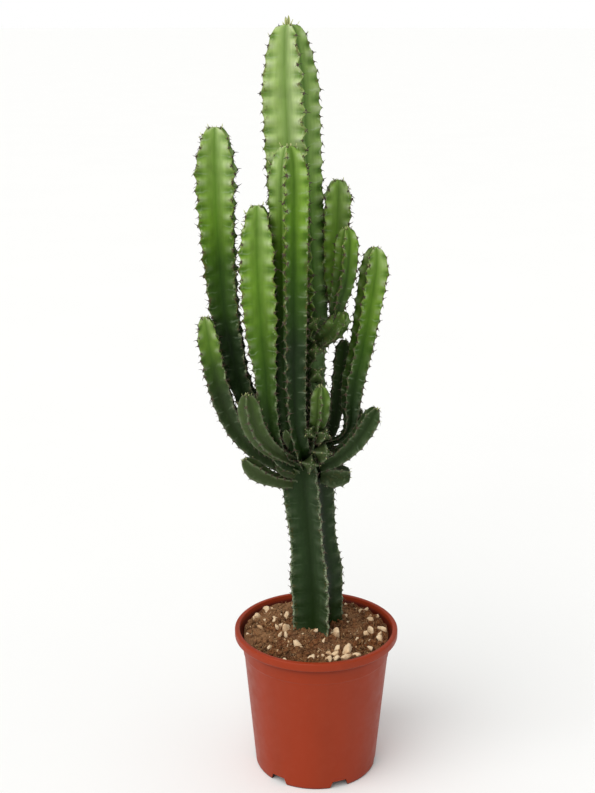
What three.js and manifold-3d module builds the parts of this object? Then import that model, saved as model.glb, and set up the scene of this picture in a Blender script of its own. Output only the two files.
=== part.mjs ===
import * as THREE from 'three';
import Module from 'manifold-3d';
import { mergeVertices } from 'three/addons/utils/BufferGeometryUtils.js';

// A four-ribbed candelabra euphorbia in a round plastic nursery pot.
// Millimetres, +Z up. The pot axis is x = y = 0 while the plant is laid out, the camera side is -Y,
// and a turn of 0 degrees points to the camera side, with positive turns towards +X.

const wasm = await Module();
wasm.setup();

const GAP = 0.4;
const ROUND = 36;

// Pot
const POT_HEIGHT = 155;
const RIM_RADIUS = 85;
const RIM_BAND = 9.5;
const RIM_WIDTH = 5.2;
const FOOT_RADIUS = 64;
const FOOT_HEIGHT = 8.5;
const FOOT_WIDTH = 3.2;
const FOOT_INSET = 0.9;
const FOOT_CHAMFER = 2.5;
const FLOOR_THICKNESS = 2;
const FLOOR_CORNER = 1.2;
const WALL = 1.5;
const COLLAR_HEIGHT = 127.5;
const COLLAR_RADIUS = 75.4;
const COLLAR_STEP = 0.7;
const NECK_RADIUS = 77.4;
const NOTCHES = 6;
const NOTCH_TURN = 22;
const NOTCH_WIDTH = 21;
const NOTCH_SLANT = 3;
const NOTCH_TOP = FOOT_HEIGHT - 0.6;
const DRAIN_RING = 42;
const DRAIN_RADIUS = 4.5;
const CENTRE_DRAIN_RADIUS = 7;

// Soil
const SOIL_EDGE = 147;
const SOIL_BACK_RISE = 2.5;
const SOIL_RISE_FROM = -50;
const SOIL_RISE_TO = 70;
const SOIL_MOUND = 4.5;
const SOIL_MOUND_SPREAD = 45;
const SOIL_LUMPS = 1.1;
const SOIL_RINGS = [0.97, 0.84, 0.7, 0.56, 0.4];

// Stems
const RIBS = 4;
const VALLEY = 0.41;
const SWAY = 3.2;
const SWAY_AT_FOOT = 0.4;
const SWAY_RISES_FROM = 330;
const SWAY_FULL_FROM = 450;
const FULL_RADIUS = 28;
const SITE_SPACING = 7.4;
const SITE_SPACING_PER_RADIUS = 0.04;
const TIP_SHARE = 0.3;
const TIP_POWER = 0.45;
const TIP_RISE = 1.2;
const CREST_GROWTH = 2.65;
const VALLEY_GROWTH = 1.1;
const SPINES_FROM_HEIGHT = 158;

// Spines
const SPINE_ROOT = 1.2;
const SPINE_FOOT = 0.8;
const SPINE_SINK = 1.6;
const SPINE_OUT = 2.2;
const SPINE_SPREAD = 3.3;
const SPINE_DROOP = 0.8;
const SPINE_EVERY = 3;
const SPINE_CLEAR = 3;

// Each path point is x, y, z and the crest radius there, from the root of the stem to its tip.
const MAIN = {
  name: 'stem_main', turn: 22, taper: 1.9,
  path: [
    [3, 10, 75, 26], [2, 10, 148, 28], [1.5, 10, 185, 28.5], [0, 10, 212, 29.5], [-3, 9, 248, 25.5],
    [-7, 8, 292, 27.5], [-12, 8, 346, 27.5], [-15.5, 8, 420, 25.5], [-15.5, 8, 491, 28], [-18, 7, 551, 29],
    [-21.5, 6, 609, 28.5], [-25, 5, 684, 29], [-28.5, 4, 760, 29],
  ],
};

const BRANCHES = [
  {
    name: 'branch_left_front', turn: 45, taper: 1.7,
    path: [
      [-21, 0, 332, 9], [-35, -14, 346, 10], [-44, -26, 373, 11.5], [-48.5, -32, 406, 13.5],
      [-50, -33, 438, 14.5], [-52.5, -34, 465, 18.5], [-54.5, -34, 495, 21.5], [-57, -34, 545, 22.5],
      [-57, -34, 599, 21],
    ],
  },
  {
    name: 'branch_front', turn: -11, taper: 1.5,
    path: [
      [-14, 2, 336, 10], [-19, -18, 358, 11.5], [-24, -30, 386, 13.5], [-26.5, -36, 428, 15.5],
      [-27.5, -38, 492, 17.5], [-27.5, -38, 569, 18.5], [-27.5, -37, 654, 19.5],
    ],
  },
  {
    name: 'branch_left_tall', turn: 45, taper: 1.5,
    path: [
      [-27, 8, 337, 9], [-50, 8, 362, 11], [-67, 7, 395, 13], [-78.5, 7, 425, 14.5], [-84.5, 6, 456, 16.5],
      [-90, 5, 487, 18.5], [-93.5, 4, 528, 20.5], [-96.5, 3, 582, 23], [-97, 3, 622, 25.5], [-97, 2, 667, 26],
    ],
  },
  {
    name: 'branch_left_long', turn: -40, taper: 1.4,
    path: [
      [-18, 2, 320, 7], [-49, -4, 342, 9.5], [-66, -8, 356, 11], [-83.5, -10, 380, 12.5],
      [-95.5, -11, 413, 14], [-104, -15, 455, 14], [-108.5, -17, 489, 13],
    ],
  },
  {
    name: 'branch_front_left_short', turn: -8, taper: 1.2,
    path: [
      [-25, -8, 340, 6.5], [-40, -28, 355, 8], [-49.5, -40, 367, 9.5], [-58, -47, 381, 11],
      [-64, -50, 397, 11.5], [-67.5, -53, 422, 11.5],
    ],
  },
  {
    name: 'branch_left_lowest', turn: 40, taper: 1.2,
    path: [
      [-25, 0, 315, 6.5], [-36, -8, 319, 7.5], [-47, -13, 324, 8.5], [-57.5, -17, 331, 10.5], [-66.5, -20, 339, 10.5], [-72.5, -22, 346, 9.5],
    ],
  },
  {
    name: 'branch_right_upper', turn: 45, taper: 0.9,
    path: [
      [-1.5, 12, 454, 5.5], [15.5, 16, 467, 7], [19.5, 17, 481, 7.5], [17.5, 18, 499, 9.5], [16.5, 18, 524, 14],
      [17.5, 18, 549, 16.5], [18.5, 18, 575, 17.5], [20, 18, 616, 17.5],
    ],
  },
  {
    name: 'branch_right_mid', turn: -16, taper: 1.1,
    path: [
      [10, -4, 466, 5], [16, -9, 479, 6], [18, -14, 494, 7], [20, -17, 507, 8.5], [22.5, -19, 517, 10],
      [25.5, -20, 535, 11.5], [27, -20, 554, 11.5], [27.5, -20, 576, 11.5],
    ],
  },
  {
    name: 'branch_right_tall', turn: 60, taper: 1.3,
    path: [
      [1, 4, 351, 6], [11, 3, 356, 5], [22, 2, 360, 4], [29.5, 1, 368, 5], [33, 0, 380, 7.5],
      [33.5, 0, 395, 10.5], [35.5, 0, 420, 12.5], [40, 0, 440, 12.5], [45.5, 0, 470, 13.5], [50, 0, 502, 14.5],
      [54.5, 0, 533, 15.5], [55.5, 0, 554, 15.5],
    ],
  },
  {
    name: 'branch_right_back', turn: 45, taper: 1.2,
    path: [[2, 18, 341, 6.5], [15, 24, 363, 8], [21, 27, 394, 10], [25, 28, 425, 11.5], [27.5, 28, 455, 11.5]],
  },
  {
    name: 'branch_right_low', turn: 45, taper: 1.2,
    path: [
      [3, -2, 333, 7], [20, -8, 344, 9.5], [36, -12, 360, 11], [47, -14, 376, 11.5], [58, -16, 397, 12],
    ],
  },
  {
    name: 'branch_front_right_short', turn: 5, taper: 1.2,
    path: [[-7, -2, 361, 6], [-2, -18, 375, 7.5], [2, -27, 395, 9.5], [3, -31, 424, 10]],
  },
  {
    name: 'branch_back_tall', turn: 30, taper: 1.5,
    path: [
      [-9, 20, 337, 9], [-10, 40, 358, 11.5], [-13, 51, 394, 14], [-15, 54, 448, 16], [-17, 53, 512, 17],
      [-18, 52, 576, 17],
    ],
  },
  {
    name: 'branch_back_short', turn: -30, taper: 1.4,
    path: [
      [-22, 18, 324, 8], [-37, 33, 340, 10.5], [-46, 42, 366, 12], [-49, 46, 404, 12.5],
      [-50, 46, 438, 12],
    ],
  },
];

// Stubby buds that stay part of the main stem, in the same form as the branches but with shallower valleys.
const BUD_TAPER = 1.3;
const BUD_VALLEY = 0.58;
const BUDS = [
  { turn: 30, path: [[-6, -8, 371, 8], [-9, -33, 379, 10]] },
  { turn: 15, path: [[0, -6, 365, 8], [8, -31, 376, 10]] },
  { turn: 40, path: [[0, -4, 349, 9], [9, -33, 357, 12]] },
  { turn: 5, path: [[-8, -6, 337, 8], [-6, -31, 345, 11]] },
  { turn: 45, path: [[4, 4, 322, 10], [19, 3, 321, 15], [33, 2, 322, 17.5]] },
  { turn: 45, path: [[-22, 2, 324, 8], [-41, -8, 336, 10]] },
  { turn: 30, path: [[-20, -8, 353, 7], [-31, -30, 380, 9]] },
  { turn: 45, path: [[-6, -10, 481, 8], [-4, -29, 489, 11]] },
  { turn: 20, path: [[-5, -10, 453, 8], [-2, -29, 461, 11]] },
  { turn: 60, path: [[-4, -9, 427, 8], [0, -29, 438, 11]] },
  { turn: 45, path: [[3, 10, 342, 6], [25, 12, 346, 6.5], [37, 13, 359, 8], [43, 13, 387, 9.5]] },
  { turn: 20, path: [[-8, 2, 453, 8], [3, -4, 463, 9.5], [12, -9, 472, 12], [20, -13, 484, 13.5], [24, -15, 495, 13]] },
].map((bud) => ({ ...bud, taper: BUD_TAPER, valley: BUD_VALLEY }));

// Tiny leaves on the growing tip of the main stem.
const LEAVES = [[0, 9.5], [75, 6.5], [160, 7.5], [255, 6]];
const LEAF_HALF_WIDTH = 1.1;
const LEAF_HALF_THICKNESS = 0.4;
const LEAF_SINK = 0.8;
const LEAF_LEAN = 18;
const LEAF_RING = 1.6;
const LEAF_RISE = 0.4;

// Handfuls of pumice grains on the soil: centre x and y, spread, how many, and grain size.
const GRAIN_HANDFULS = [
  [27, -52, 13, 9, 6.5], [70, -6, 7, 3, 6.5], [54, -8, 5, 2, 5.5], [58, 34, 13, 4, 4.5], [-37, 10, 12, 5, 4.8],
  [-58, 42, 11, 4, 5.5], [-44, -38, 9, 2, 4], [-14, -44, 14, 3, 7], [21, -14, 3, 1, 7.5], [-58, 8, 8, 2, 4],
  [34, 62, 10, 2, 4], [10, -25, 12, 2, 4],
];
const GRAIN_SEED = 11;
const GRAIN_FROM_WALL = 2;
const GRAIN_LIFT = 0.25;

const rad = THREE.MathUtils.degToRad;

function seededDraw(seed) {
  let state = seed;
  return () => {
    state = (state * 1664525 + 1013904223) % 4294967296;
    return state / 4294967296;
  };
}

function toSolid(geometry) {
  const bare = geometry.clone();
  bare.deleteAttribute('normal');
  bare.deleteAttribute('uv');
  const merged = mergeVertices(bare, 1e-4);
  return new wasm.Manifold(new wasm.Mesh({
    numProp: 3,
    vertProperties: new Float32Array(merged.attributes.position.array),
    triVerts: new Uint32Array(merged.index.array),
  }));
}

function toGeometry(solid) {
  const mesh = solid.getMesh();
  const geometry = new THREE.BufferGeometry();
  geometry.setAttribute('position', new THREE.BufferAttribute(new Float32Array(mesh.vertProperties), 3));
  geometry.setIndex(new THREE.BufferAttribute(new Uint32Array(mesh.triVerts), 1));
  geometry.computeVertexNormals();
  return geometry;
}

function largestBody(solid) {
  const bodies = solid.decompose();
  return bodies.reduce((best, body) => (body.volume() > best.volume() ? body : best));
}

function lathed(profile) {
  const points = profile.map(([radius, height]) => new THREE.Vector2(radius, height));
  return new THREE.LatheGeometry(points, ROUND).rotateX(Math.PI / 2);
}

// Pot

const INNER_FOOT = FOOT_RADIUS - WALL;
const INNER_NECK = NECK_RADIUS - WALL;
const FLOOR_TOP = FOOT_HEIGHT + FLOOR_THICKNESS;
const NECK_HEIGHT = POT_HEIGHT - RIM_BAND;
const RIM_INSIDE = RIM_RADIUS - RIM_WIDTH;

// The rolled rim, radius and height, from its under edge over the top to its inner lower edge.
const RIM_SECTION = [
  [RIM_RADIUS - 1.8, NECK_HEIGHT],
  [RIM_RADIUS - 0.4, NECK_HEIGHT + 1.6],
  [RIM_RADIUS, NECK_HEIGHT + 4.5],
  [RIM_RADIUS - 0.5, POT_HEIGHT - 1.6],
  [RIM_RADIUS - 1.9, POT_HEIGHT],
  [RIM_INSIDE + 0.8, POT_HEIGHT],
  [RIM_INSIDE, POT_HEIGHT - 0.9],
  [RIM_INSIDE - 0.5, POT_HEIGHT - 5.5],
];

function innerRadius(height) {
  const share = (height - FLOOR_TOP) / (NECK_HEIGHT - FLOOR_TOP);
  return THREE.MathUtils.lerp(INNER_FOOT, INNER_NECK, share);
}

// The section runs from the middle of the underside out over the foot, up the outside with its faint
// collar, over the rolled rim, and down the inside to the middle of the floor.
function potBody() {
  const footOuter = FOOT_RADIUS - FOOT_INSET;
  const footInner = footOuter - FOOT_WIDTH;
  return toSolid(lathed([
    [0, FOOT_HEIGHT],
    [footInner, FOOT_HEIGHT],
    [footInner, 0],
    [footOuter, 0],
    [FOOT_RADIUS, FOOT_CHAMFER],
    [COLLAR_RADIUS, COLLAR_HEIGHT],
    [COLLAR_RADIUS + COLLAR_STEP, COLLAR_HEIGHT + COLLAR_STEP],
    [NECK_RADIUS, NECK_HEIGHT],
    ...RIM_SECTION,
    [INNER_NECK, NECK_HEIGHT - 0.5],
    [INNER_FOOT, FLOOR_TOP + FLOOR_CORNER],
    [INNER_FOOT - FLOOR_CORNER, FLOOR_TOP],
    [0, FLOOR_TOP],
  ]));
}

function notchCutter(turn) {
  const half = NOTCH_WIDTH / 2;
  const outline = new THREE.Shape([
    new THREE.Vector2(-half, -1),
    new THREE.Vector2(half, -1),
    new THREE.Vector2(half - NOTCH_SLANT, NOTCH_TOP),
    new THREE.Vector2(-half + NOTCH_SLANT, NOTCH_TOP),
  ]);
  const reach = 5 * FOOT_WIDTH;
  const cutter = new THREE.ExtrudeGeometry(outline, { depth: reach, bevelEnabled: false });
  cutter.rotateX(Math.PI / 2).translate(0, reach / 2 - FOOT_RADIUS, 0).rotateZ(rad(turn));
  return toSolid(cutter);
}

function drainCutter(radius, ring, turn) {
  const cutter = new THREE.CylinderGeometry(radius, radius, 3 * FLOOR_THICKNESS, 12);
  cutter.rotateX(Math.PI / 2).translate(0, -ring, FOOT_HEIGHT + FLOOR_THICKNESS / 2).rotateZ(rad(turn));
  return toSolid(cutter);
}

function makePot() {
  let pot = potBody().subtract(drainCutter(CENTRE_DRAIN_RADIUS, 0, 0));
  for (let notch = 0; notch < NOTCHES; notch += 1) {
    const turn = NOTCH_TURN + (notch * 360) / NOTCHES;
    pot = pot.subtract(notchCutter(turn)).subtract(drainCutter(DRAIN_RADIUS, DRAIN_RING, turn));
  }
  return pot;
}

// Soil

function soilHeight(x, y) {
  const fromStem = Math.hypot(x - MAIN.path[1][0], y - MAIN.path[1][1]);
  const mound = SOIL_MOUND * Math.exp(-((fromStem / SOIL_MOUND_SPREAD) ** 2));
  const rise = SOIL_BACK_RISE * THREE.MathUtils.smoothstep(y, SOIL_RISE_FROM, SOIL_RISE_TO);
  const lumps = Math.sin(0.21 * x + 1.3) * Math.cos(0.24 * y) + 0.6 * Math.sin(0.43 * x - 0.37 * y);
  return SOIL_EDGE + mound + rise + SOIL_LUMPS * lumps;
}

function soilBody() {
  const rimOfSoil = innerRadius(SOIL_EDGE) - GAP;
  const bottom = FLOOR_TOP + FLOOR_CORNER;
  const rings = SOIL_RINGS.map((share) => [share * rimOfSoil, SOIL_EDGE]);
  const geometry = lathed([
    [0, bottom], [innerRadius(bottom) - GAP, bottom], [rimOfSoil, SOIL_EDGE], ...rings, [0, SOIL_EDGE],
  ]);
  const position = geometry.attributes.position;
  for (let index = 0; index < position.count; index += 1) {
    const [x, y, z] = [position.getX(index), position.getY(index), position.getZ(index)];
    if (z > SOIL_EDGE - 1 && Math.hypot(x, y) < 0.98 * rimOfSoil) position.setZ(index, soilHeight(x, y));
  }
  return toSolid(geometry);
}

// One grain is a stretched and turned octahedron, sunk a little into the soil.
function grain(draw, [centreX, centreY, spread, , size]) {
  const turn = 2 * Math.PI * draw();
  const away = spread * Math.sqrt(draw());
  const half = (size / 2) * (0.75 + 0.5 * draw());
  const x = centreX + away * Math.cos(turn);
  const y = centreY + away * Math.sin(turn);
  const inside = Math.min(1, (innerRadius(SOIL_EDGE) - half - GRAIN_FROM_WALL) / Math.hypot(x, y));
  const shape = new THREE.OctahedronGeometry(half);
  shape.scale(1 + 0.3 * draw(), 0.85 + 0.3 * draw(), 0.8 + 0.2 * draw());
  shape.rotateX(draw() * 3).rotateY(draw() * 3).rotateZ(draw() * 3);
  shape.translate(x * inside, y * inside, soilHeight(x * inside, y * inside) + GRAIN_LIFT * half);
  return toSolid(shape);
}

function makeSoil(stemHole) {
  const draw = seededDraw(GRAIN_SEED);
  let soil = soilBody();
  for (const handful of GRAIN_HANDFULS) {
    for (let count = 0; count < handful[3]; count += 1) soil = soil.add(grain(draw, handful));
  }
  return largestBody(soil.subtract(stemHole));
}

// Stems

// Rib directions follow the stem: the camera side, laid square to the stem, is turned about it.
function frameAt(tangent) {
  const front = new THREE.Vector3(0, -1, 0).projectOnPlane(tangent).normalize();
  const right = new THREE.Vector3().crossVectors(tangent, front);
  return (turn) => front.clone().multiplyScalar(Math.cos(turn)).addScaledVector(right, Math.sin(turn));
}

function tipShare(fromTip, radius, taper) {
  return Math.min(1, TIP_SHARE + (1 - TIP_SHARE) * (fromTip / (taper * radius)) ** TIP_POWER);
}

function smoothLine(points) {
  return new THREE.CatmullRomCurve3(points, false, 'catmullrom');
}

// Stations along a stem, one at each spine site, from its root to its tip.
function stations({ path, taper, valley = VALLEY }) {
  const line = smoothLine(path.map(([x, y, z]) => new THREE.Vector3(x, y, z)));
  const radii = smoothLine(path.map((point) => new THREE.Vector3(point[3], 0, 0)));
  line.arcLengthDivisions = 400;
  const length = line.getLength();
  const meanRadius = path.reduce((sum, point) => sum + point[3], 0) / path.length;
  const steps = Math.round(length / (SITE_SPACING + SITE_SPACING_PER_RADIUS * meanRadius));
  return Array.from({ length: steps + 1 }, (_, step) => {
    const t = line.getUtoTmapping(step / steps);
    const fullRadius = radii.getPoint(t).x;
    const share = tipShare(length * (1 - step / steps), fullRadius, taper);
    const centre = line.getPoint(t);
    const tangent = line.getTangent(t);
    const radius = fullRadius * share;
    const rise = THREE.MathUtils.smoothstep(centre.z, SWAY_RISES_FROM, SWAY_FULL_FROM);
    const sway = SWAY * THREE.MathUtils.lerp(SWAY_AT_FOOT, 1, rise) * share * (radius / FULL_RADIUS);
    return { centre, tangent, towards: frameAt(tangent), radius, valley: valley * radius, sway };
  });
}

// Growing a stem moves its crests out further than its valleys, so that its flanks move out evenly.
function ribsAt(station, step, turn, grow) {
  const { centre, tangent, towards, radius, valley, sway } = station;
  const toCrest = radius + CREST_GROWTH * grow;
  const toValley = valley + VALLEY_GROWTH * grow;
  return Array.from({ length: RIBS }, (_, rib) => {
    const angle = rad(turn) + (rib * 2 * Math.PI) / RIBS;
    const out = towards(angle);
    const side = new THREE.Vector3().crossVectors(tangent, out);
    const swing = (step + rib) % 2 === 0 ? sway : -sway;
    return {
      out,
      side,
      swing,
      crest: centre.clone().addScaledVector(out, toCrest).addScaledVector(side, swing),
      valley: centre.clone().addScaledVector(towards(angle - Math.PI / RIBS), toValley),
    };
  });
}

// A pair of spines astride the crest: its corners on the crest line and on both flanks, and its two points.
function spinePair({ out, side, swing, crest }, { tangent }) {
  const at = (across, along, lift) => crest.clone().addScaledVector(side, across)
    .addScaledVector(tangent, along).addScaledVector(out, lift);
  const lean = (-2 * swing * SPINE_ROOT) / SITE_SPACING;
  return {
    above: at(lean, SPINE_ROOT, 0),
    below: at(lean, -SPINE_ROOT, 0),
    left: at(-SPINE_FOOT, 0, -SPINE_SINK),
    right: at(SPINE_FOOT, 0, -SPINE_SINK),
    leftTip: at(-SPINE_SPREAD, -SPINE_DROOP, SPINE_OUT),
    rightTip: at(SPINE_SPREAD, -SPINE_DROOP, SPINE_OUT),
  };
}

// A closed ribbed stem with one crest line per rib. Where hasSpines says so, a pair of three-sided
// spines stands astride the crest, and its roots are part of the flanks themselves.
function stemGeometry(stem, { grow = 0, hasSpines = () => false } = {}) {
  const positions = [];
  const faces = [];
  const vertex = (point) => positions.push(point.x, point.y, point.z) / 3 - 1;
  const fan = (loop) => {
    for (let k = 1; k < loop.length - 1; k += 1) faces.push(loop[0], loop[k], loop[k + 1]);
  };
  const along = stations(stem);
  const last = along.length - 1;
  along[0].centre.addScaledVector(along[0].tangent, -grow);

  const rings = along.map((station, step) => ribsAt(station, step, stem.turn, grow).map((rib, number) => {
    const valley = vertex(rib.valley);
    const pair = spinePair(rib, station);
    if (step === 0 || !hasSpines(pair, step, number)) {
      const crest = vertex(rib.crest);
      return { valley, left: [], above: crest, below: crest, right: [] };
    }
    const [above, below, left, right] = [pair.above, pair.below, pair.left, pair.right].map(vertex);
    const [leftTip, rightTip] = [pair.leftTip, pair.rightTip].map(vertex);
    faces.push(left, below, leftTip, below, above, leftTip, above, left, leftTip);
    faces.push(below, right, rightTip, right, above, rightTip, above, below, rightTip);
    return { valley, left: [left], above, below, right: [right] };
  }));

  for (let step = 0; step < last; step += 1) {
    for (let rib = 0; rib < RIBS; rib += 1) {
      const [low, high] = [rings[step][rib], rings[step + 1][rib]];
      const [nextLow, nextHigh] = [rings[step][(rib + 1) % RIBS], rings[step + 1][(rib + 1) % RIBS]];
      fan([low.valley, ...low.left, low.above, high.below, ...high.left, high.valley]);
      fan([nextLow.valley, nextHigh.valley, ...high.right, high.below, low.above, ...low.right]);
    }
  }

  const root = vertex(along[0].centre);
  const tip = vertex(along[last].centre.clone().addScaledVector(along[last].tangent, TIP_RISE + grow));
  const close = (ring, centre, isRoot) => {
    const loop = ring.flatMap(({ valley, left, above, right }) => [valley, ...left, above, ...right]);
    loop.forEach((here, index) => {
      const next = loop[(index + 1) % loop.length];
      faces.push(centre, ...(isRoot ? [next, here] : [here, next]));
    });
  };
  close(rings[0], root, true);
  close(rings[last], tip, false);

  const geometry = new THREE.BufferGeometry();
  geometry.setAttribute('position', new THREE.Float32BufferAttribute(positions, 3));
  geometry.setIndex(faces);
  return geometry;
}

// True where a point lies inside another stem's reach, so that nothing is grown there.
function isNear(point, others, clearance) {
  return others.some((stem) => stem.along.some(({ centre, radius }) => (
    centre.distanceTo(point) < radius + clearance
  )));
}

function spineRule(others) {
  return (pair, step, number) => {
    if ((step + 2 * number) % SPINE_EVERY !== 0 || pair.above.z < SPINES_FROM_HEIGHT) return false;
    return ![pair.leftTip, pair.rightTip].some((tip) => isNear(tip, others, SPINE_CLEAR));
  };
}

function leaf(turn, length) {
  const tip = MAIN.path.at(-1);
  const shape = new THREE.OctahedronGeometry(1);
  shape.scale(LEAF_HALF_WIDTH, LEAF_HALF_THICKNESS, length / 2).translate(0, 0, length / 2 - LEAF_SINK);
  shape.rotateX(rad(LEAF_LEAN)).translate(0, -LEAF_RING, 0).rotateZ(rad(turn));
  shape.translate(tip[0], tip[1], tip[2] + LEAF_RISE);
  return toSolid(shape);
}

function makeMainStem(others) {
  let stem = toSolid(stemGeometry(MAIN, { hasSpines: spineRule(others) }));
  for (const bud of BUDS) stem = stem.add(toSolid(stemGeometry(bud)));
  for (const [turn, length] of LEAVES) stem = stem.add(leaf(turn, length));
  return largestBody(stem);
}

function grownMainStem() {
  return BUDS.reduce(
    (stem, bud) => stem.add(toSolid(stemGeometry(bud, { grow: GAP }))),
    toSolid(stemGeometry(MAIN, { grow: GAP })),
  );
}

// Every branch is seated on the main stem and on the branches before it, with a hair's gap between them.
function makeBranches(all) {
  const grown = [grownMainStem()];
  return BRANCHES.map((branch) => {
    const others = all.filter(({ name }) => name !== branch.name);
    let solid = toSolid(stemGeometry(branch, { hasSpines: spineRule(others) }));
    for (const neighbour of grown) solid = solid.subtract(neighbour);
    grown.push(toSolid(stemGeometry(branch, { grow: GAP })));
    return [branch.name, largestBody(solid)];
  });
}

// Assembly

const FINISH = {
  pot: { color: 0x98402a, roughness: 0.5, metalness: 0 },
  soil: { color: 0x6b482f, roughness: 0.95, metalness: 0 },
  stem: { color: 0x3f6626, roughness: 0.55, metalness: 0 },
  branch: { color: 0x5c8a34, roughness: 0.55, metalness: 0 },
  shadedBranch: { color: 0x47622f, roughness: 0.6, metalness: 0 },
};
const SHADED_HEIGHT = 460;

function piece(name, solid, finish) {
  const mesh = new THREE.Mesh(toGeometry(solid), new THREE.MeshStandardMaterial(finish));
  mesh.name = name;
  return mesh;
}

const everyStem = [MAIN, ...BRANCHES, ...BUDS].map((stem) => ({ ...stem, along: stations(stem) }));
const plant = new THREE.Group();
plant.add(piece('pot', makePot(), FINISH.pot));
plant.add(piece('soil', makeSoil(toSolid(stemGeometry(MAIN, { grow: GAP }))), FINISH.soil));
plant.add(piece('stem_main', makeMainStem(everyStem.filter(({ name }) => name !== MAIN.name)), FINISH.stem));
for (const [name, solid] of makeBranches(everyStem)) {
  const isShaded = solid.boundingBox().max[2] < SHADED_HEIGHT;
  plant.add(piece(name, solid, isShaded ? FINISH.shadedBranch : FINISH.branch));
}

// The origin is under the middle of the whole plant, on the surface that the pot stands on.
const middle = new THREE.Box3().setFromObject(plant).getCenter(new THREE.Vector3());
plant.position.set(-middle.x, -middle.y, 0);

const group = new THREE.Group();
group.add(plant);

export default group;
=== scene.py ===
"""A four-ribbed candelabra euphorbia in a terracotta-coloured nursery pot.

The stems are swept round the same centre lines as the plant's solids, with waved crests, a tooth at every
spine site and a pair of spines on each tooth. Lengths are millimetres until they reach a mesh, where MM
turns them into metres, and places are measured from the pot's axis. Materials work in the frame's metres.
"""

import math
import random

import bmesh
import bpy
import numpy as np
from mathutils import Euler, Matrix, Vector, noise


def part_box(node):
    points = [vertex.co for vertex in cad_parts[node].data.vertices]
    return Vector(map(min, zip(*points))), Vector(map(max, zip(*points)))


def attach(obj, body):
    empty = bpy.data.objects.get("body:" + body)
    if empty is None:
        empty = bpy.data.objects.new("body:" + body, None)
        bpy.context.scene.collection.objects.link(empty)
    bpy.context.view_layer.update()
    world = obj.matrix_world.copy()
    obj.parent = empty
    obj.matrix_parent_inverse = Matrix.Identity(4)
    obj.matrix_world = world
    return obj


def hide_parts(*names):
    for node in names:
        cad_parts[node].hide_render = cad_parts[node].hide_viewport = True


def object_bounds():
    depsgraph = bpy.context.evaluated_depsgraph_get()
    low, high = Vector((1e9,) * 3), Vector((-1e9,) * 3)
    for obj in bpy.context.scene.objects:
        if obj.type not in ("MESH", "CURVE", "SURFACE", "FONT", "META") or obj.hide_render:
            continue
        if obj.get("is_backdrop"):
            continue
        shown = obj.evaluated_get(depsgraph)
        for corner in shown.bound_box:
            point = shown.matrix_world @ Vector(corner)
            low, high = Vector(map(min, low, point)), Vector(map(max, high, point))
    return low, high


bl_info = {
    "name": "Potted Euphorbia",
    "version": (1, 0, 0),
    "blender": (4, 5, 0),
    "location": "View3D > Sidebar > Euphorbia",
    "description": "Builds a four-ribbed euphorbia with its spines, its soil and its nursery pot",
    "category": "Add Mesh",
}

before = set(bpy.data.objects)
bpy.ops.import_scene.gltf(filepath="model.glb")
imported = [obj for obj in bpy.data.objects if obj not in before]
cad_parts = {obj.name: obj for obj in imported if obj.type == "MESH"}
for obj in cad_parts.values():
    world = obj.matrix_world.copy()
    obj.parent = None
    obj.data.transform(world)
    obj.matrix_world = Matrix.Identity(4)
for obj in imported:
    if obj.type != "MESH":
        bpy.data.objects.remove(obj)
CAD_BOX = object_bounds()

MM = 0.001
BODY = "root"
POT_LOW, POT_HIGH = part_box("pot")

# The pot's axis in the frame, in millimetres, from which every x and y below is measured
AXIS = ((POT_LOW[0] + POT_HIGH[0]) / 2 / MM, (POT_LOW[1] + POT_HIGH[1]) / 2 / MM)
POT_HEIGHT = (POT_HIGH[2] - POT_LOW[2]) / MM
RIM_RADIUS = (POT_HIGH[0] - POT_LOW[0]) / 2 / MM

# Pot
RIM_BAND = 9.5
RIM_WIDTH = 5.2
FOOT_RADIUS = 64
FOOT_HEIGHT = 8.5
FOOT_WIDTH = 3.2
FOOT_INSET = 0.9
FLOOR_THICKNESS = 2
FLOOR_TOP = FOOT_HEIGHT + FLOOR_THICKNESS
WALL = 1.5
COLLAR_HEIGHT = 127.5
COLLAR_RADIUS = 75.4
COLLAR_STEP = 0.7
NECK_RADIUS = 77.4
NECK_HEIGHT = POT_HEIGHT - RIM_BAND
NOTCHES = 6
NOTCH_TURN = 22
NOTCH_WIDTH = 21
NOTCH_SLANT = 3
NOTCH_ROOF = 0.6
NOTCH_DEPTH = 16
NOTCH_RING = 62
DRAIN_RING = 42
DRAIN_RADIUS = 4.5
CENTRE_DRAIN_RADIUS = 7
POT_STEPS = 160

# Soil
SOIL_EDGE = 147
SOIL_BACK_RISE = 2.5
SOIL_RISE_FROM = -50
SOIL_RISE_TO = 70
SOIL_MOUND = 4.5
SOIL_MOUND_SPREAD = 45
SOIL_LUMPS = 1.1
SOIL_GRID = 230
SOIL_BOTTOM = FLOOR_TOP + 1.2
SOIL_GAP_AT_EDGE = 0.35
SOIL_GAP_AT_FOOT = 0.4
TRUNK_CLEARANCE = 13
STONE_POINTS = 14
STONE_SIZES = (1.1, 1.25)

# Stems
RIBS = 4
VALLEY = 0.41
BUD_VALLEY = 0.58
VALLEY_ROUND = 0.34
VALLEY_FILL = 0.1
SWAY_AT_FOOT = 0.4
SWAY_RISES_FROM = 330
SWAY_FULL_FROM = 450
FULL_RADIUS = 28
SITE_SPACING = 7.4
SITE_SPACING_PER_RADIUS = 0.04
TIP_SHARE = 0.3
TIP_POWER = 0.45
TIP_RISE = 1.2
CAP_RINGS = np.array((0.72, 0.4, 0))
SITE_RINGS = (0, 0.1, 0.24, 0.42, 0.58, 0.76, 0.9)
TIP_RINGS = 16
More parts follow.
